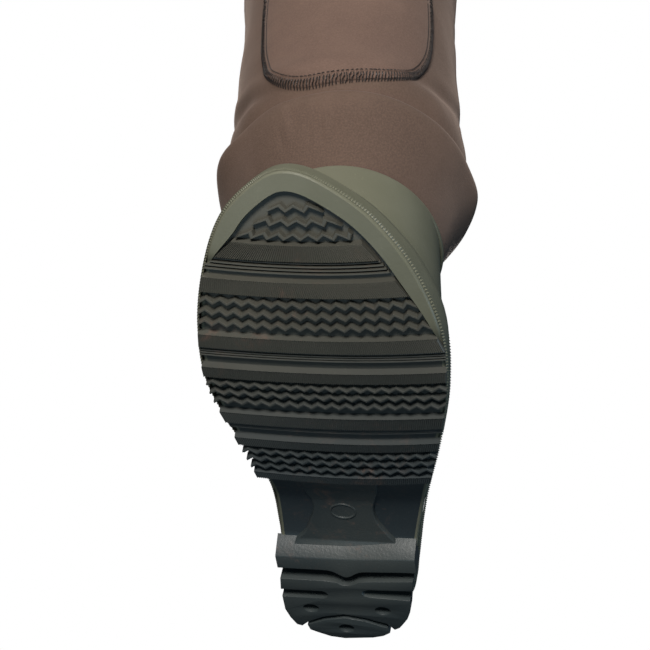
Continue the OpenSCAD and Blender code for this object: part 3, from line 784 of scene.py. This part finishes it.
# Leg along its own axis: height, half width, depth to the front, depth to the back
LEG = ((238, 53.5, 61.5, 54), (246, 55, 63.5, 56), (250, 57.5, 66.5, 58.5), (258, 61.5, 70.5, 61.5),
       (268, 66, 75, 65.5),
       (280, 71.5, 80.5, 70), (290, 77, 84.5, 75), (297, 80.5, 86.8, 78.5), (301, 81.5, 87, 79.5), (304.5,
           81, 84.5, 79.2),
       (309, 78.5, 78, 78), (317, 76.5, 73, 77), (327, 77, 74, 77), (340, 77, 76.5, 77), (360, 75.8, 77, 76),
       (400, 74.8, 77, 75.5), (440, 74.5, 77.5, 75), (490, 75, 79, 76), (560, 81, 85, 82), (650, 94, 100, 98),
       (720, 102, 112, 112), (772, 106, 120, 124))
LIP = ((230, 59.5, 68.3, 60.5), (260, 59.5, 68.3, 60.5))


def leg_place(h, angle, out, table=LEG):
    """Point on the left leg: angle 0 faces outwards, 90 the front."""
    r = smooth_row(table, h)
    a = math.radians(angle)
    deep = r[2] if math.sin(a) > 0 else r[3]
    return on_leg((r[1] + out) * math.cos(a), -(deep + out) * math.sin(a), h)


def leg_folds(h, angle):
    """How far the fabric stands off the plain leg: creases, pleats and soft unevenness."""
    front = bump(around(angle, 92), 0, 55)
    soft = 1.6 * noise.noise(Vector((angle / 38, h / 70, 7.3))) + 0.8 * noise.noise(Vector((angle / 17,
        h / 34, 1.9)))
    soft *= step(h, 262, 300)
    # Crease above the roll, deep in front
    crease = -4.0 * bump(h, 318, 8.0) * (0.35 + 0.65 * front)
    # Slanting folds that run up from the roll on both sides
    crease -= 3.4 * bump(h, 338 + 0.62 * around(angle, 120), 7.5) * bump(around(angle, 135), 0, 30)
    crease += 2.2 * bump(h, 352 + 0.62 * around(angle, 120), 9.0) * bump(around(angle, 132), 0, 30)
    crease -= 3.0 * bump(h, 352 - 0.5 * around(angle, 40), 8.0) * bump(around(angle, 20), 0, 26)
    # Soft swell above that crease
    swell = 2.6 * bump(h, 340, 13) * front
    # Pleat on the inner side of the roll
    pleat = 4.0 * bump(h, 303, 9) * bump(around(angle, 148), 0, 13)
    pleat -= 4.5 * bump(h, 318 + 0.35 * around(angle, 150), 7) * bump(around(angle, 158), 0, 20)
    # Corner of the roll on the outer side
    corner = 3.0 * bump(h, 304, 8) * bump(around(angle, -12), 0, 20)
    # Fine radial creases in the cone above the shaft
    cone = 0.0
    for middle, depth in ((84, 1.3), (90.5, 1.5), (97, 0.9), (74, 0.7), (112, 0.9)):
        cone -= depth * bump(around(angle, middle), 0, 1.6) * bump(h, 277, 9)
    sag = 1.5 * bump(around(angle, 270), 0, 50) * (bump(h, 330, 14) - bump(h, 350, 10))
    knee = 0.0
    for height, depth in ((452, 3.2), (476, 4.4), (500, 4.6), (526, 3.4)):
        wave = height + 5 * math.sin(math.radians(angle * 2.0 + height * 3))
        knee -= depth * bump(h, wave, 7.5) * bump(around(angle, 268), 0, 52)
    return soft + crease + swell + pleat + corner + cone + sag + knee


def leg_columns():
    """Angles round the leg: 48 spaces on the outer side and 32 on the inner."""
    outer = [105 - 210 * k / 48 for k in range(48)]
    inner = [-105 - 150 * k / 32 for k in range(32)]
    return outer + inner


def leg_tube(name, low, high, rings, extra=1):
    """A length of the leg's fabric with its thickness."""
    columns = leg_columns()
    if extra > 1:
        finer = []
        for i, a in enumerate(columns):
            b = columns[(i + 1) % len(columns)]
            b = b - 360 if i == len(columns) - 1 else b
            finer += [a + (b - a) * k / extra for k in range(extra)]
        columns = finer
    heights = [low + (high - low) * i / rings for i in range(rings + 1)]
    outer = [[leg_place(h, a, leg_folds(h, a)) for a in columns] for h in heights]
    inner = [[leg_place(h, a, leg_folds(h, a) - FOAM) for a in columns] for h in heights]
    b = Build()
    b.sheet(outer, inner, loop=True)
    return b.obj(name, NEOPRENE, 60)


# ---- body: shape ---------------------------------------------------------------------

BODY = ((770, 226, 128, 132), (868, 228, 136, 142), (950, 222, 136, 140), (1050, 214, 131, 131),
        (1150, 222, 135, 131), (1230, 230, 138, 130), (1310, 236, 139, 128))
BIB_TOP = 1296.0
SIDE_TOP = 1250.0
WAIST = 868.0
BELT = 1030.0


def top_edge(angle):
    u = min(max((math.sin(math.radians(angle)) - 0.72) / 0.28, 0), 1)
    return SIDE_TOP + (BIB_TOP - SIDE_TOP) * (u * u * (3 - 2 * u)) ** 0.8


def body_place(z, angle, out):
    """Point on the body: angle 0 is the left side, 90 the front."""
    r = smooth_row(BODY, z)
    a = math.radians(angle)
    deep = r[2] if math.sin(a) > 0 else r[3]
    return ((r[1] + out) * math.cos(a), -(deep + out) * math.sin(a), z)


def body_folds(z, angle):
    soft = 3.0 * noise.noise(Vector((angle / 44, z / 90, 2.7))) + 1.2 * noise.noise(Vector((angle / 20,
        z / 40, 5.5)))
    soft *= step(z, 872, 930) * (1 - 0.7 * step(z, 1200, 1240))
    gathers = -3.4 * bump(z, BELT, 26) + 1.1 * math.sin(math.radians(angle * 17)) * bump(z, BELT + 32, 18)
    gathers += 1.1 * math.sin(math.radians(angle * 19 + 60)) * bump(z, BELT - 34, 20)
    pocket = bump(around(angle, 90), 0, 48) ** 0.5 * step(z, 1045, 1060)
    return (soft + gathers) * (1 - 0.9 * pocket)


def body_panel(name, start, end, count):
    heights = 46
    columns = [start + (end - start) * k / count for k in range(count + 1)]

    def rows(extra):
        result = []
        for i in range(heights + 1):
            row = []
            for a in columns:
                z = WAIST + (top_edge(a) - WAIST) * i / heights
                row.append(body_place(z, a, body_folds(z, a) + extra))
            result.append(row)
        return result
    b = Build()
    b.sheet(rows(0.0), rows(-FOAM))
    return b.obj(name, NEOPRENE, 60)


CROTCH = 775.0


def trouser(name):
    """The left half of the seat and the leg down to the lower thigh, in one cloth."""
    columns = leg_columns()
    low = 600.0
    turn = 742.0
    legs = [low + (turn - low) * i / 20 for i in range(21)]
    outer_count = 48

    def end_point(j, extra):
        if j <= outer_count:
            angle = 90 - 180 * j / outer_count
            return Vector(body_place(WAIST, angle, extra + body_folds(WAIST, angle))), Vector((0, 0, 1))
        m = (j - outer_count) / (len(columns) - outer_count)
        y = (142 + extra) - (278 + 2 * extra) * m
        deep = 142 + extra if y > 0 else 136 + extra
        share = min(abs(y) / deep, 1.0)
        z = CROTCH - extra + (WAIST - CROTCH + extra) * (1 - math.sqrt(max(1 - share ** 2.2, 0)))
        flat = 1 - share ** 4
        return Vector((0, y, z)), Vector((-flat, 0, 1 - flat)).normalized()

    def rows(extra):
        result = [[leg_place(h, a, leg_folds(h, a) + extra) for a in columns] for h in legs]
        upper = []
        for j, angle in enumerate(columns):
            p = Vector(leg_place(turn, angle, leg_folds(turn, angle) + extra))
            before = Vector(leg_place(turn - 6, angle, leg_folds(turn - 6, angle) + extra))
            q, out = end_point(j, extra)
            reach = (q - p).length
            tangent = (p - before).normalized() * reach
            upper.append((p, tangent, q, out * reach))
        for i in range(1, 23):
            u = i / 22
            row = []
            for p, tp, q, tq in upper:
                v = ((2 * u ** 3 - 3 * u * u + 1) * p + (u ** 3 - 2 * u * u + u) * tp
                     + (3 * u * u - 2 * u ** 3) * q + (u ** 3 - u * u) * tq)
                fade = math.sin(math.pi * u)
                wrinkle = 2.2 * noise.noise(Vector((v.x / 45, v.y / 60, v.z / 26))) * fade
                v = v + Vector((v.x - 125, v.y, 0)).normalized() * wrinkle
                row.append((max(v.x, 0.0), v.y, v.z))
            result.append(row)
        return result
    b = Build()
    b.sheet(rows(0.0), rows(-FOAM), loop=True)
    return b.obj(name, NEOPRENE, 60)


# ---- seams and stitches -----------------------------------------------------------------

def tube_along(b, path, radius, sides=6):
    """A round thread along a path of standing points."""
    rows = []
    for i, p in enumerate(path):
        p = Vector(p)
        ahead = (Vector(path[min(i + 1, len(path) - 1)]) - Vector(path[max(i - 1, 0)])).normalized()
        side = ahead.orthogonal().normalized()
        up = ahead.cross(side)
        rows.append([tuple(p + radius * (side * math.cos(a) + up * math.sin(a)))
                     for a in [2 * math.pi * k / sides for k in range(sides)]])
    b.bar(rows)


def ribbon(b, path, across, wide, thick, crown=0.0):
    """A flat tape along a path; across gives its width direction at each point."""
    rows = []
    for i, p in enumerate(path):
        p = Vector(p)
        ahead = (Vector(path[min(i + 1, len(path) - 1)]) - Vector(path[max(i - 1, 0)])).normalized()
        w = Vector(across[i])
        w = (w - ahead * w.dot(ahead)).normalized()
        n = ahead.cross(w)
        half = wide / 2
        rows.append([tuple(p - w * half), tuple(p - w * (half - 0.8) - n * thick / 2),
                     tuple(p - n * (thick / 2 + crown)), tuple(p + w * (half - 0.8) - n * thick / 2),
                     tuple(p + w * half), tuple(p + w * (half - 0.8) + n * thick / 2),
                     tuple(p + n * (thick / 2 + crown)), tuple(p - w * (half - 0.8) + n * thick / 2)])
    b.bar(rows)


PAD_LOW = 333.0
PAD_HIGH = 604.0
PAD_TURN = 10.5         # the patch faces a little outwards


def pad_outline():
    """The knee patch's outline as (angle from its middle, height), once round."""
    points = []
    for k in range(160):
        a = 2 * math.pi * k / 160
        c, s = math.cos(a), math.sin(a)
        w = 47.5 * math.copysign(abs(c) ** 0.62, c)
        v = math.copysign(abs(s) ** 0.55, s)
        h = (PAD_LOW + PAD_HIGH) / 2 + v * (PAD_HIGH - PAD_LOW) / 2
        h += 7.0 * (w / 47.5) * (v < 0) * abs(v) - 4.0 * (v < 0)
        points.append((w, h))
    return points


def pad_point(w, h, out):
    angle = 90 - PAD_TURN - w
    return leg_place(h, angle, leg_folds(h, angle) + out)


def knee_pad():
    """A second layer of neoprene sewn over the knee, with a rounded outline."""
    b = Build()
    edge = pad_outline()
    centre_h = (PAD_LOW + PAD_HIGH) / 2
    rings = 26

    def rows(top):
        result = []
        for i in range(rings + 1):
            u = i / rings
            fall = 1.6 * (1 - step(u, 0.0, 0.07)) if top else 0.0
            height = 2.9 - fall if top else 0.15
            result.append([pad_point(w * (1 - u), centre_h + (h - centre_h) * (1 - u), height)
                           for w, h in edge])
        return result
    b.grid(rows(True), loop=True)
    b.grid([rows(True)[0], rows(False)[0]], loop=True)
    return b.obj("left_knee_patch", PATCH, 60)


def knee_stitches():
    """Overlocked edge of the patch: a cord of slanted stitches and a line of thread inside it."""
    b = Build()
    edge = pad_outline()
    dense = []
    for i in range(len(edge)):
        a, c = Vector(edge[i]), Vector(edge[(i + 1) % len(edge)])
        for k in range(6):
            dense.append(a.lerp(c, k / 6))
    placed = [Vector(pad_point(p.x, p.y, 2.2)) for p in dense]
    length = [0.0]
    for i in range(1, len(placed)):
        length.append(length[-1] + (placed[i] - placed[i - 1]).length)
    total = length[-1]
    count = int(total / 2.1)
    centre = Vector((0.0, (PAD_LOW + PAD_HIGH) / 2))

    def at(distance, inward, out):
        distance %= total
        i = int(np.searchsorted(length, distance)) % len(dense)
        p = dense[i]
        q = dense[(i + 1) % len(dense)]
        along = Vector(((q.x - p.x) * 1.35, q.y - p.y))
        along.normalize()
        normal = Vector((-along.y, along.x))
        if normal.dot(centre - p) < 0:
            normal = -normal
        return pad_point(p.x + normal.x * inward / 1.35, p.y + normal.y * inward, out)
    for k in range(count):
        s = total * k / count
        tube_along(b, [at(s, -1.5, 0.4), at(s + 0.3, -0.4, 2.6), at(s + 0.9, 1.2, 3.4),
                       at(s + 1.5, 2.8, 3.1)], 0.42, 5)
    for k in range(int(total / 3.0)):
        s = total * k / int(total / 3.0)
        tube_along(b, [at(s, 4.6, 2.9), at(s + 1.0, 4.6, 3.3), at(s + 2.0, 4.6, 2.9)], 0.3, 5)
    return b.obj("left_knee_stitching", THREAD, 60)


def seam_line(b, path_at, count, reach=1.9, out=0.25, radius=0.32):
    """Flat blind stitching across a seam: path_at(s, side, out) gives a point near the seam."""
    for k in range(count):
        s = (k + 0.25) / count
        d = 0.5 / count
        tube_along(b, [path_at(s, -reach, out - 0.35), path_at(s + d * 0.4, 0, out + 0.15),
                       path_at(s + d, reach, out - 0.35)], radius, 4)


# ---- hardware on the bib -------------------------------------------------------------------

WEB = 38.0
STRAP_X = 86.0
STRAP_LEAN = math.radians(17)
STRAP_LOW = BIB_TOP - 6
bib_row = smooth_row(((1230, 230, 138, 130), (1310, 236, 139, 128)), STRAP_LOW)
strap_angle = math.acos(STRAP_X / bib_row[1])
STRAP_Y = -bib_row[2] * math.sin(strap_angle) - 4.6
STRAP_TURN = math.atan(bib_row[2] * math.cos(strap_angle) / (bib_row[1] * math.sin(strap_angle)))
STRAP_START = Vector((STRAP_X, STRAP_Y, STRAP_LOW))
STRAP_DIR = Vector((-math.sin(STRAP_LEAN) * math.sin(STRAP_TURN), math.sin(STRAP_LEAN) * math.cos(STRAP_TURN),
                    math.cos(STRAP_LEAN)))
STRAP_FACE = Vector((math.cos(STRAP_LEAN) * math.sin(STRAP_TURN),
                     -math.cos(STRAP_LEAN) * math.cos(STRAP_TURN),
                     math.sin(STRAP_LEAN)))
STRAP_SIDE = Vector((math.cos(STRAP_TURN), math.sin(STRAP_TURN), 0))
YOKE_Z = 1330.0
YOKE_Y = 116.0


def strap_at(side, face, up):
    """Point near the left front strap: across it, out from it and up along it."""
    return STRAP_START + STRAP_SIDE * side + STRAP_FACE * face + STRAP_DIR * up


def shoulder_path():
    start = strap_at(0, 2, 128)
    peak = Vector((74, 44, SHOULDERS + 9))
    down = Vector((52, 100, SHOULDERS - 40))
    end = Vector((17, YOKE_Y, YOKE_Z + 16))
    lead = start + 62 * STRAP_DIR
    middle = (lead + peak) / 2
    path = [strap_at(0, 2, 84 + 44 * i / 10) for i in range(10)]
    for i in range(25):
        t = i / 24
        path.append((1 - t) ** 2 * start + 2 * t * (1 - t) * lead + t * t * middle)
    for i in range(1, 41):
        t = i / 40
        path.append((1 - t) ** 3 * middle + 3 * t * (1 - t) ** 2 * peak + 3 * t * t * (1 - t) * down
                    + t ** 3 * end)
    sides = []
    for i in range(len(path)):
        s = max(0, (i - 10) / (len(path) - 11))
        sides.append(STRAP_SIDE.lerp(Vector((0.86, 0, 0.5)), s))
    return path, sides


# ---- bib: pieces ---------------------------------------------------------------------------

def body_seams():
    """Flat stitching up both side seams of the body."""
    b = Build()
    for angle in (0, 180):
        def at(s, side, out):
            z = WAIST + 4 + (SIDE_TOP - WAIST - 10) * s
            a = angle + side * 0.5
            return body_place(z, a, body_folds(z, a) + out)
        seam_line(b, at, 150)
    return b.obj("side_seam_stitching", THREAD)


def top_binding():
    """Folded tape round the top edge, with a line of stitches outside and in."""
    b = Build()
    rows = []
    count = 220
    for i in range(count + 1):
        a = 360 * i / count
        z = top_edge(a)
        ripple = 0.25 * math.sin(math.radians(a * 45))
        row = []
        for k in range(13):
            turn = math.pi * k / 12
            row.append(body_place(z - 12 * abs(math.cos(turn)) ** 2 + 3.2 * math.sin(turn) + 0.5,
                                  a, -FOAM / 2 + (FOAM / 2 + 1.1 + ripple) * math.cos(turn)))
        rows.append(row)
    b.grid(rows)
    for i in range(300):
        a = 360 * i / 300
        for out in (1.2, -FOAM - 1.2):
            tube_along(b, [body_place(top_edge(a + d) - 9.6, a + d, out + 0.45 * (out > 0) - 0.45 * (out < 0))
                           for d in (0, 0.35, 0.7)], 0.35, 5)
    return b.obj("top_binding_tape", BINDING, 60)


POCKET_LOW = 1060.0
POCKET_HIGH = 1212.0
POCKET_HALF = 34.0
POCKET_DEEP = 18.0


def pocket_out(u, v):
    side = step(min(u, 1 - u), 0.0, 0.15)
    low = step(v, 0.0, 0.17)
    crease = 1.0 - 0.16 * bump(u, 0.12, 0.03) - 0.16 * bump(u, 0.88, 0.03)
    soft = 1.6 * noise.noise(Vector((u * 5, v * 3.2, 4.4)))
    return (POCKET_DEEP + soft - 3.0 * v * bump(u, 0.5, 0.35)) * side * low * crease


def chest_pocket():
    b = Build()
    outer, inner = [], []
    for i in range(57):
        v = i / 56
        z = POCKET_LOW + (POCKET_HIGH - POCKET_LOW) * v
        outer.append([body_place(z, 90 + POCKET_HALF * (1 - 2 * k / 80), 3.1 + pocket_out(k / 80, v))
                      for k in range(81)])
        inner.append([body_place(z, 90 + POCKET_HALF * (1 - 2 * k / 80), 0.3 + pocket_out(k / 80, v))
                      for k in range(81)])
    b.sheet(outer, inner)
    return b.obj("chest_pocket_shell", NEOPRENE, 60)


def pocket_trim():
    """Stitching up both sides of the pocket and across its bottom."""
    b = Build()

    def line(path_at, count, reach=1.6):
        seam_line(b, path_at, count, reach=reach, out=0.5, radius=0.35)
    for side in (0.012, 0.988):
        line(lambda s, d, o, side=side: body_place(POCKET_LOW + 8 + (POCKET_HIGH - POCKET_LOW - 12) * s,
                                                   90 + POCKET_HALF * (1 - 2 * side) + d * 0.4,
                                                   3.1 + pocket_out(side, 0.5) * 0.12 + o), 56)
    line(lambda s, d, o: body_place(POCKET_LOW + 2.5 + d, 90 + POCKET_HALF * (0.97 - 1.94 * s), 3.0 + o), 100)
    return b.obj("pocket_stitching", THREAD)


def pocket_mouth():
    b = Build()
    rows = []
    for i in range(81):
        u = i / 80
        a = 90 + POCKET_HALF * (1 - 2 * u)
        out = pocket_out(u, 1.0)
        rows.append([body_place(POCKET_HIGH - 9 + 10.5 * math.sin(math.pi * k / 10) ** 0.7, a,
                                out + 1.7 + 2.4 * math.cos(math.pi * k / 10)) for k in range(11)])
    b.grid(rows)
    return b.obj("pocket_mouth_binding", BINDING, 60)


FLAP_OUT = POCKET_DEEP + 4


def flap_sheet():
    """The pocket's flap: sewn above the pocket, folded over its mouth."""
    b = Build()

    def row(a, extra):
        u = around(a, 90) / 35.0
        path = []
        for i in range(34):
            s = i / 33
            if s < 0.3:
                w = s / 0.3
                z = 1240 - 14 * w
                out = 0.6 + (FLAP_OUT - 0.6) * (math.sin(math.pi / 2 * w) ** 1.3)
            else:
                w = (s - 0.3) / 0.7
                z = 1226 - (60 - 5 * abs(u) ** 6) * w
                out = FLAP_OUT + 0.8 * noise.noise(Vector((u * 3, w * 2.5, 8.8))) * w
            path.append(body_place(z, a, out + extra))
        return path
    angles = [55 + 70 * i / 72 for i in range(73)]
    b.sheet([row(a, 3.0) for a in angles], [row(a, 0.1) for a in angles])
    return b.obj("pocket_flap_sheet", NEOPRENE, 60)


def flap_binding():
    """Tape folded over the flap's free edges."""
    b = Build()
    path = []
    for i in range(30):
        path.append((125, 1222 - 52 * i / 30))
    for i in range(73):
        a = 125 - 70 * i / 72
        path.append((a, 1166 + 5 * abs(around(a, 90) / 35) ** 6 - 0.5))
    for i in range(30):
        path.append((55, 1170 + 52 * (i + 1) / 30))
    rows = []
    for i, (a, z) in enumerate(path):
        before, after = path[max(i - 1, 0)], path[min(i + 1, len(path) - 1)]
        da, dz = (after[0] - before[0]) * 3.1, after[1] - before[1]
        size = math.hypot(da, dz) or 1
        na, nz = -dz / size / 3.1, da / size
        row = []
        for k in range(9):
            turn = math.pi * (k / 8) - math.pi / 2
            reach = 6.5 * math.cos(turn) ** 2
            row.append(body_place(z - nz * (reach - 1.0) * -1, a - na * (reach - 1.0) * -1,
                                  FLAP_OUT + 1.55 + 2.1 * math.sin(turn)))
        rows.append(row)
    b.grid(rows)
    return b.obj("pocket_flap_binding", BINDING, 60)


def snap_heads():
    """Domed snap caps on the flap."""
    b = Build()
    for angle in (70, 110):
        middle = Vector(body_place(1176, angle, FLAP_OUT + 3.1))
        r = smooth_row(BODY, 1176)
        a = math.radians(angle)
        n = Vector((math.cos(a) / r[1], -math.sin(a) / r[2], 0)).normalized()
        side = n.cross(Vector((0, 0, 1)))
        rows = []
        for radius, high in ((6.3, 0.0), (6.4, 0.7), (6.0, 1.2), (5.2, 1.45), (4.6, 1.2), (4.2, 1.15),
                             (3.2, 1.45), (1.8, 1.65), (0.05, 1.7)):
            rows.append([tuple(middle + n * high + radius * (side * math.cos(t) + Vector((0, 0,
                1)) * math.sin(t)))
                         for t in [2 * math.pi * k / 40 for k in range(40)]])
        b.grid(rows, loop=True)
    return b.obj("flap_snap_heads", METAL, 60)


def waist_belt():
    """The wading belt, drawn in a little over the soft body."""
    path, sides = [], []
    for i in range(241):
        a = 98 + 348.2 * i / 240
        p = Vector(body_place(BELT, a, 2.3))
        path.append(p)
        sides.append((0, 0, 1))
    b = Build()
    ribbon(b, path, sides, WEB, 2.0, 0.1)
    return b.obj("waist_belt_web", WEBBING, 60)


def belt_keepers():
    b = Build()
    for angle in (25, 155, 215, 270, 325):
        r = smooth_row(BODY, BELT)
        a = math.radians(angle)
        deep = r[2] if math.sin(a) > 0 else r[3]
        middle = Vector((r[1] * math.cos(a), -deep * math.sin(a), BELT))
        n = Vector((math.cos(a) / r[1], -math.sin(a) / deep, 0)).normalized()
        t = Vector((-n.y, n.x, 0))
        rows = []
        for i in range(29):
            s = i / 28
            z = -31 + 62 * s
            out = 0.8 + 4.3 * step(min(s, 1 - s), 0.12, 0.24)
            m = middle + n * out + Vector((0, 0, z))
            rows.append([tuple(m - t * 8.5), tuple(m - t * 7.7 + n * 0.7), tuple(m + t * 7.7 + n * 0.7),
                         tuple(m + t * 8.5),
                         tuple(m + t * 7.7 - n * 0.7), tuple(m - t * 7.7 - n * 0.7)])
        b.bar(rows)
        for end in (-27, 27):
            for k in range(7):
                x = -6.5 + 13 * k / 6
                p = middle + n * 1.6 + Vector((0, 0, end)) + t * x
                tube_along(b, [p - t * 0.8 - Vector((0, 0, 1.2)), p + t * 0.8 + Vector((0, 0, 1.2))], 0.45, 5)
    return b.obj("belt_keeper_loops", WEBBING, 60)


# ---- straps ---------------------------------------------------------------------------------

def strap_web(name):
    path, sides = shoulder_path()
    b = Build()
    ribbon(b, path, sides, WEB, 2.0, 0.15)
    return b.obj(name, WEBBING, 60)


# ---- everything in its place -----------------------------------------------------------------

def leg_point_row(h, x=0.0, y=0.0):
    return place(on_leg(x, y, h))


def both(make, body, nodes=(), blend=None):
    """Makes the left piece and its mirror; body and nodes are named without their side."""
    left = make()
    twin = mirrored(left, left.name.replace("left_", "right_", 1))
    for obj, side in ((left, "left"), (twin, "right")):
        if nodes:
            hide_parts(*[f"{side}_{n}" for n in nodes])
        if blend:
            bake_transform(obj)
        elif body:
            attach(obj, "bib" if body == "bib" else f"{side}_{body}")
    return left, twin


both(boot_shell, "boot", ("boot_shell",))
both(shaft_lip, "boot", ("boot_lip",))
both(grip_band, "boot", ("grip_band",))
both(outsole_rim, "boot", ("outsole",))
both(outsole_field, "boot", ())
both(tread_bars, "boot", ("tread_bars",))
both(tread_zigzags, "boot", ("tread_ribs",))
both(tread_ridges, "boot", ())
both(heel_bar, "boot", ())
both(lambda: block("left_heel_main", HEEL_MAIN, [hole_outline(*h) for h in HEEL_HOLES], 0, 8, SHADED_HEEL_RUBBER),
     "boot", ())
both(lambda: block("left_heel_rear", HEEL_REAR, [hole_outline(*REAR_HOLE)], 0, 8, SHADED_HEEL_RUBBER), "boot", ())
both(waist_plate, "boot", ())
both(waist_mark, "boot", ())

hip_at = (leg_point_row(775), leg_point_row(633))
both(lambda: trouser("left_trouser"), None, ("hip_sleeve",),
     ("bib", "thigh", Vector((0, 0, hip_at[0].z)), Vector((0, 0, hip_at[1].z))))
both(lambda: leg_tube("left_knee_tube", 392, 600, 52), None, ("thigh", "knee_sleeve", "shin"),
     ("thigh", "shin", leg_point_row(598), leg_point_row(384)))
both(lambda: leg_tube("left_ankle_cuff", 248, 392, 76, extra=3), None, ("ankle_fold",),
     ("shin", "boot", leg_point_row(335), leg_point_row(262)))
both(knee_pad, None, ("knee_pad",), ("thigh", "shin", leg_point_row(598), leg_point_row(384)))
both(knee_stitches, None, (), ("thigh", "shin", leg_point_row(598), leg_point_row(384)))

for obj, nodes, slot, body in (
        (body_panel("bib_front", 0, 180, 96), ("front_panel", "seat_gusset"), "neoprene", "bib"),
        (body_panel("bib_back", 180, 360, 96), ("back_panel",), "neoprene", "bib"),
        (body_seams(), (), "neoprene", "bib"),
        (top_binding(), ("top_binding",), "binding", "bib"),
        (chest_pocket(), ("chest_pocket", "pocket_snap_studs"), "neoprene", "bib"),
        (pocket_mouth(), (), "binding", "bib"),
        (pocket_trim(), (), "neoprene", "bib"),
        (flap_sheet(), ("pocket_flap",), "neoprene", "flap"),
        (flap_binding(), (), "binding", "flap"),
        (snap_heads(), ("flap_snap_caps",), "metal", "flap"),
        (waist_belt(), ("belt",), "webbing", "bib"),
        (belt_keepers(), ("belt_loops",), "webbing", "bib")):
    if nodes:
        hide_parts(*nodes)
    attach(obj, body)
both(lambda: strap_web("left_strap_web"), "bib", ("shoulder_strap",))


# ---- CAD nodes that stay ---------------------------------------------------------------------

for part in frame["record"]["subparts"]:
    node = bpy.data.objects.get(part["node"])
    if node is None or node.hide_render:
        continue
    finish = {"webbing": WEBBING, "binding": BINDING, "buckle": BUCKLE, "metal": METAL, "insole": LINING,
              "neoprene": NEOPRENE, "boot_rubber": OLIVE, "sole_rubber": SOLE}[part["material_slot"]]
    node.data.materials.clear()
    node.data.materials.append(finish)


# ---- stage -----------------------------------------------------------------------------------

def white_stage():
    """A pale floor well below the hanging boots, and a white surround."""
    material = bpy.data.materials.new("pale_floor")
    material.use_nodes = True
    bsdf = material.node_tree.nodes["Principled BSDF"]
    bsdf.inputs["Base Color"].default_value = (0.86, 0.86, 0.87, 1)
    bsdf.inputs["Roughness"].default_value = 0.9
    mesh = bpy.data.meshes.new("floor")
    mesh.from_pydata([(-30, -30, 0), (30, -30, 0), (30, 30, 0), (-30, 30, 0)], [], [(0, 1, 2, 3)])
    mesh.materials.append(material)
    floor = bpy.data.objects.new("floor", mesh)
    floor.location = (0, 0, -3.0)
    bpy.context.scene.collection.objects.link(floor)
    world = bpy.data.worlds.new("studio")
    bpy.context.scene.world = world
    world.use_nodes = True
    tree = world.node_tree
    out = tree.nodes["World Output"]
    soft = tree.nodes["Background"]
    soft.inputs["Color"].default_value = (0.86, 0.93, 1.0, 1)
    soft.inputs["Strength"].default_value = 0.03
    seen = tree.nodes.new("ShaderNodeBackground")
    seen.inputs["Color"].default_value = (1, 1, 1, 1)
    seen.inputs["Strength"].default_value = 1.0
    path = tree.nodes.new("ShaderNodeLightPath")
    mix = tree.nodes.new("ShaderNodeMixShader")
    tree.links.new(path.outputs["Is Camera Ray"], mix.inputs[0])
    tree.links.new(soft.outputs[0], mix.inputs[1])
    tree.links.new(seen.outputs[0], mix.inputs[2])
    tree.links.new(mix.outputs[0], out.inputs[0])
    return floor


def area_light(name, at, aim, size, power, color, spread):
    light = bpy.data.lights.new(name, "AREA")
    light.shape = "DISK"
    light.size = size
    light.energy = power
    light.color = color
    light.spread = math.radians(spread)
    obj = bpy.data.objects.new(name, light)
    obj.location = at
    obj.rotation_euler = (Vector(aim) - Vector(at)).to_track_quat("-Z", "Y").to_euler()
    bpy.context.scene.collection.objects.link(obj)
    return obj


def main_camera():
    """Looks up at the left boot from below its toe."""
    az, el, roll = math.radians(17.41), math.radians(-45.16), math.radians(14.12)
    back = Vector((math.sin(az) * math.cos(el), -math.cos(az) * math.cos(el), math.sin(el)))
    ahead = -back
    side = Vector((math.cos(az), math.sin(az), 0))
    up = side.cross(ahead)
    x = side * math.cos(roll) + up * math.sin(roll)
    y = up * math.cos(roll) - side * math.sin(roll)
    turn = Matrix.Rotation(TOE_OUT, 3, "Z")
    where = turn @ Vector((0.2131, -0.8042, -0.6691)) + Vector((STANCE * MM, 0, -SHOULDERS * MM))
    axes = turn @ Matrix((x, y, -ahead)).transposed()
    data = bpy.data.cameras.new("main_camera")
    data.lens = 110.8
    data.sensor_width = 36
    data.clip_start = 0.01
    data.clip_end = 1.45    # the other leg stays out of the picture
    camera = bpy.data.objects.new("main_camera", data)
    camera.matrix_world = Matrix.Translation(where) @ axes.to_4x4()
    bpy.context.scene.collection.objects.link(camera)
    bpy.context.scene.camera = camera
    return where


main_camera()
boot_middle = (0.25, -0.12, -1.40)
stage_parts = [
    white_stage(),
    area_light("key", (0.58, -2.85, -2.50), boot_middle, 0.9, 8.5, (1.0, 0.97, 0.93), 60),
    area_light("upper", (0.6, -2.2, -0.5), (0.22, 0, -1.15), 0.8, 0.7, (1.0, 0.98, 0.95), 40),
    area_light("under", (0.35, -0.3, -2.5), boot_middle, 0.8, 0.25, (0.55, 0.80, 1.0), 60),
    area_light("rim", (1.6, 0.2, -1.3), boot_middle, 0.5, 0.3, (0.45, 0.72, 1.0), 50),
    area_light("body", (0.9, -3.4, -0.2), (0, 0, -0.5), 1.4, 2.6, (1, 1, 1), 40),
    area_light("back", (-0.9, 3.1, 1.1), (0, 0, -0.35), 1.4, 9, (1, 1, 1), 30)]
bpy.context.scene.view_settings.view_transform = "Standard"
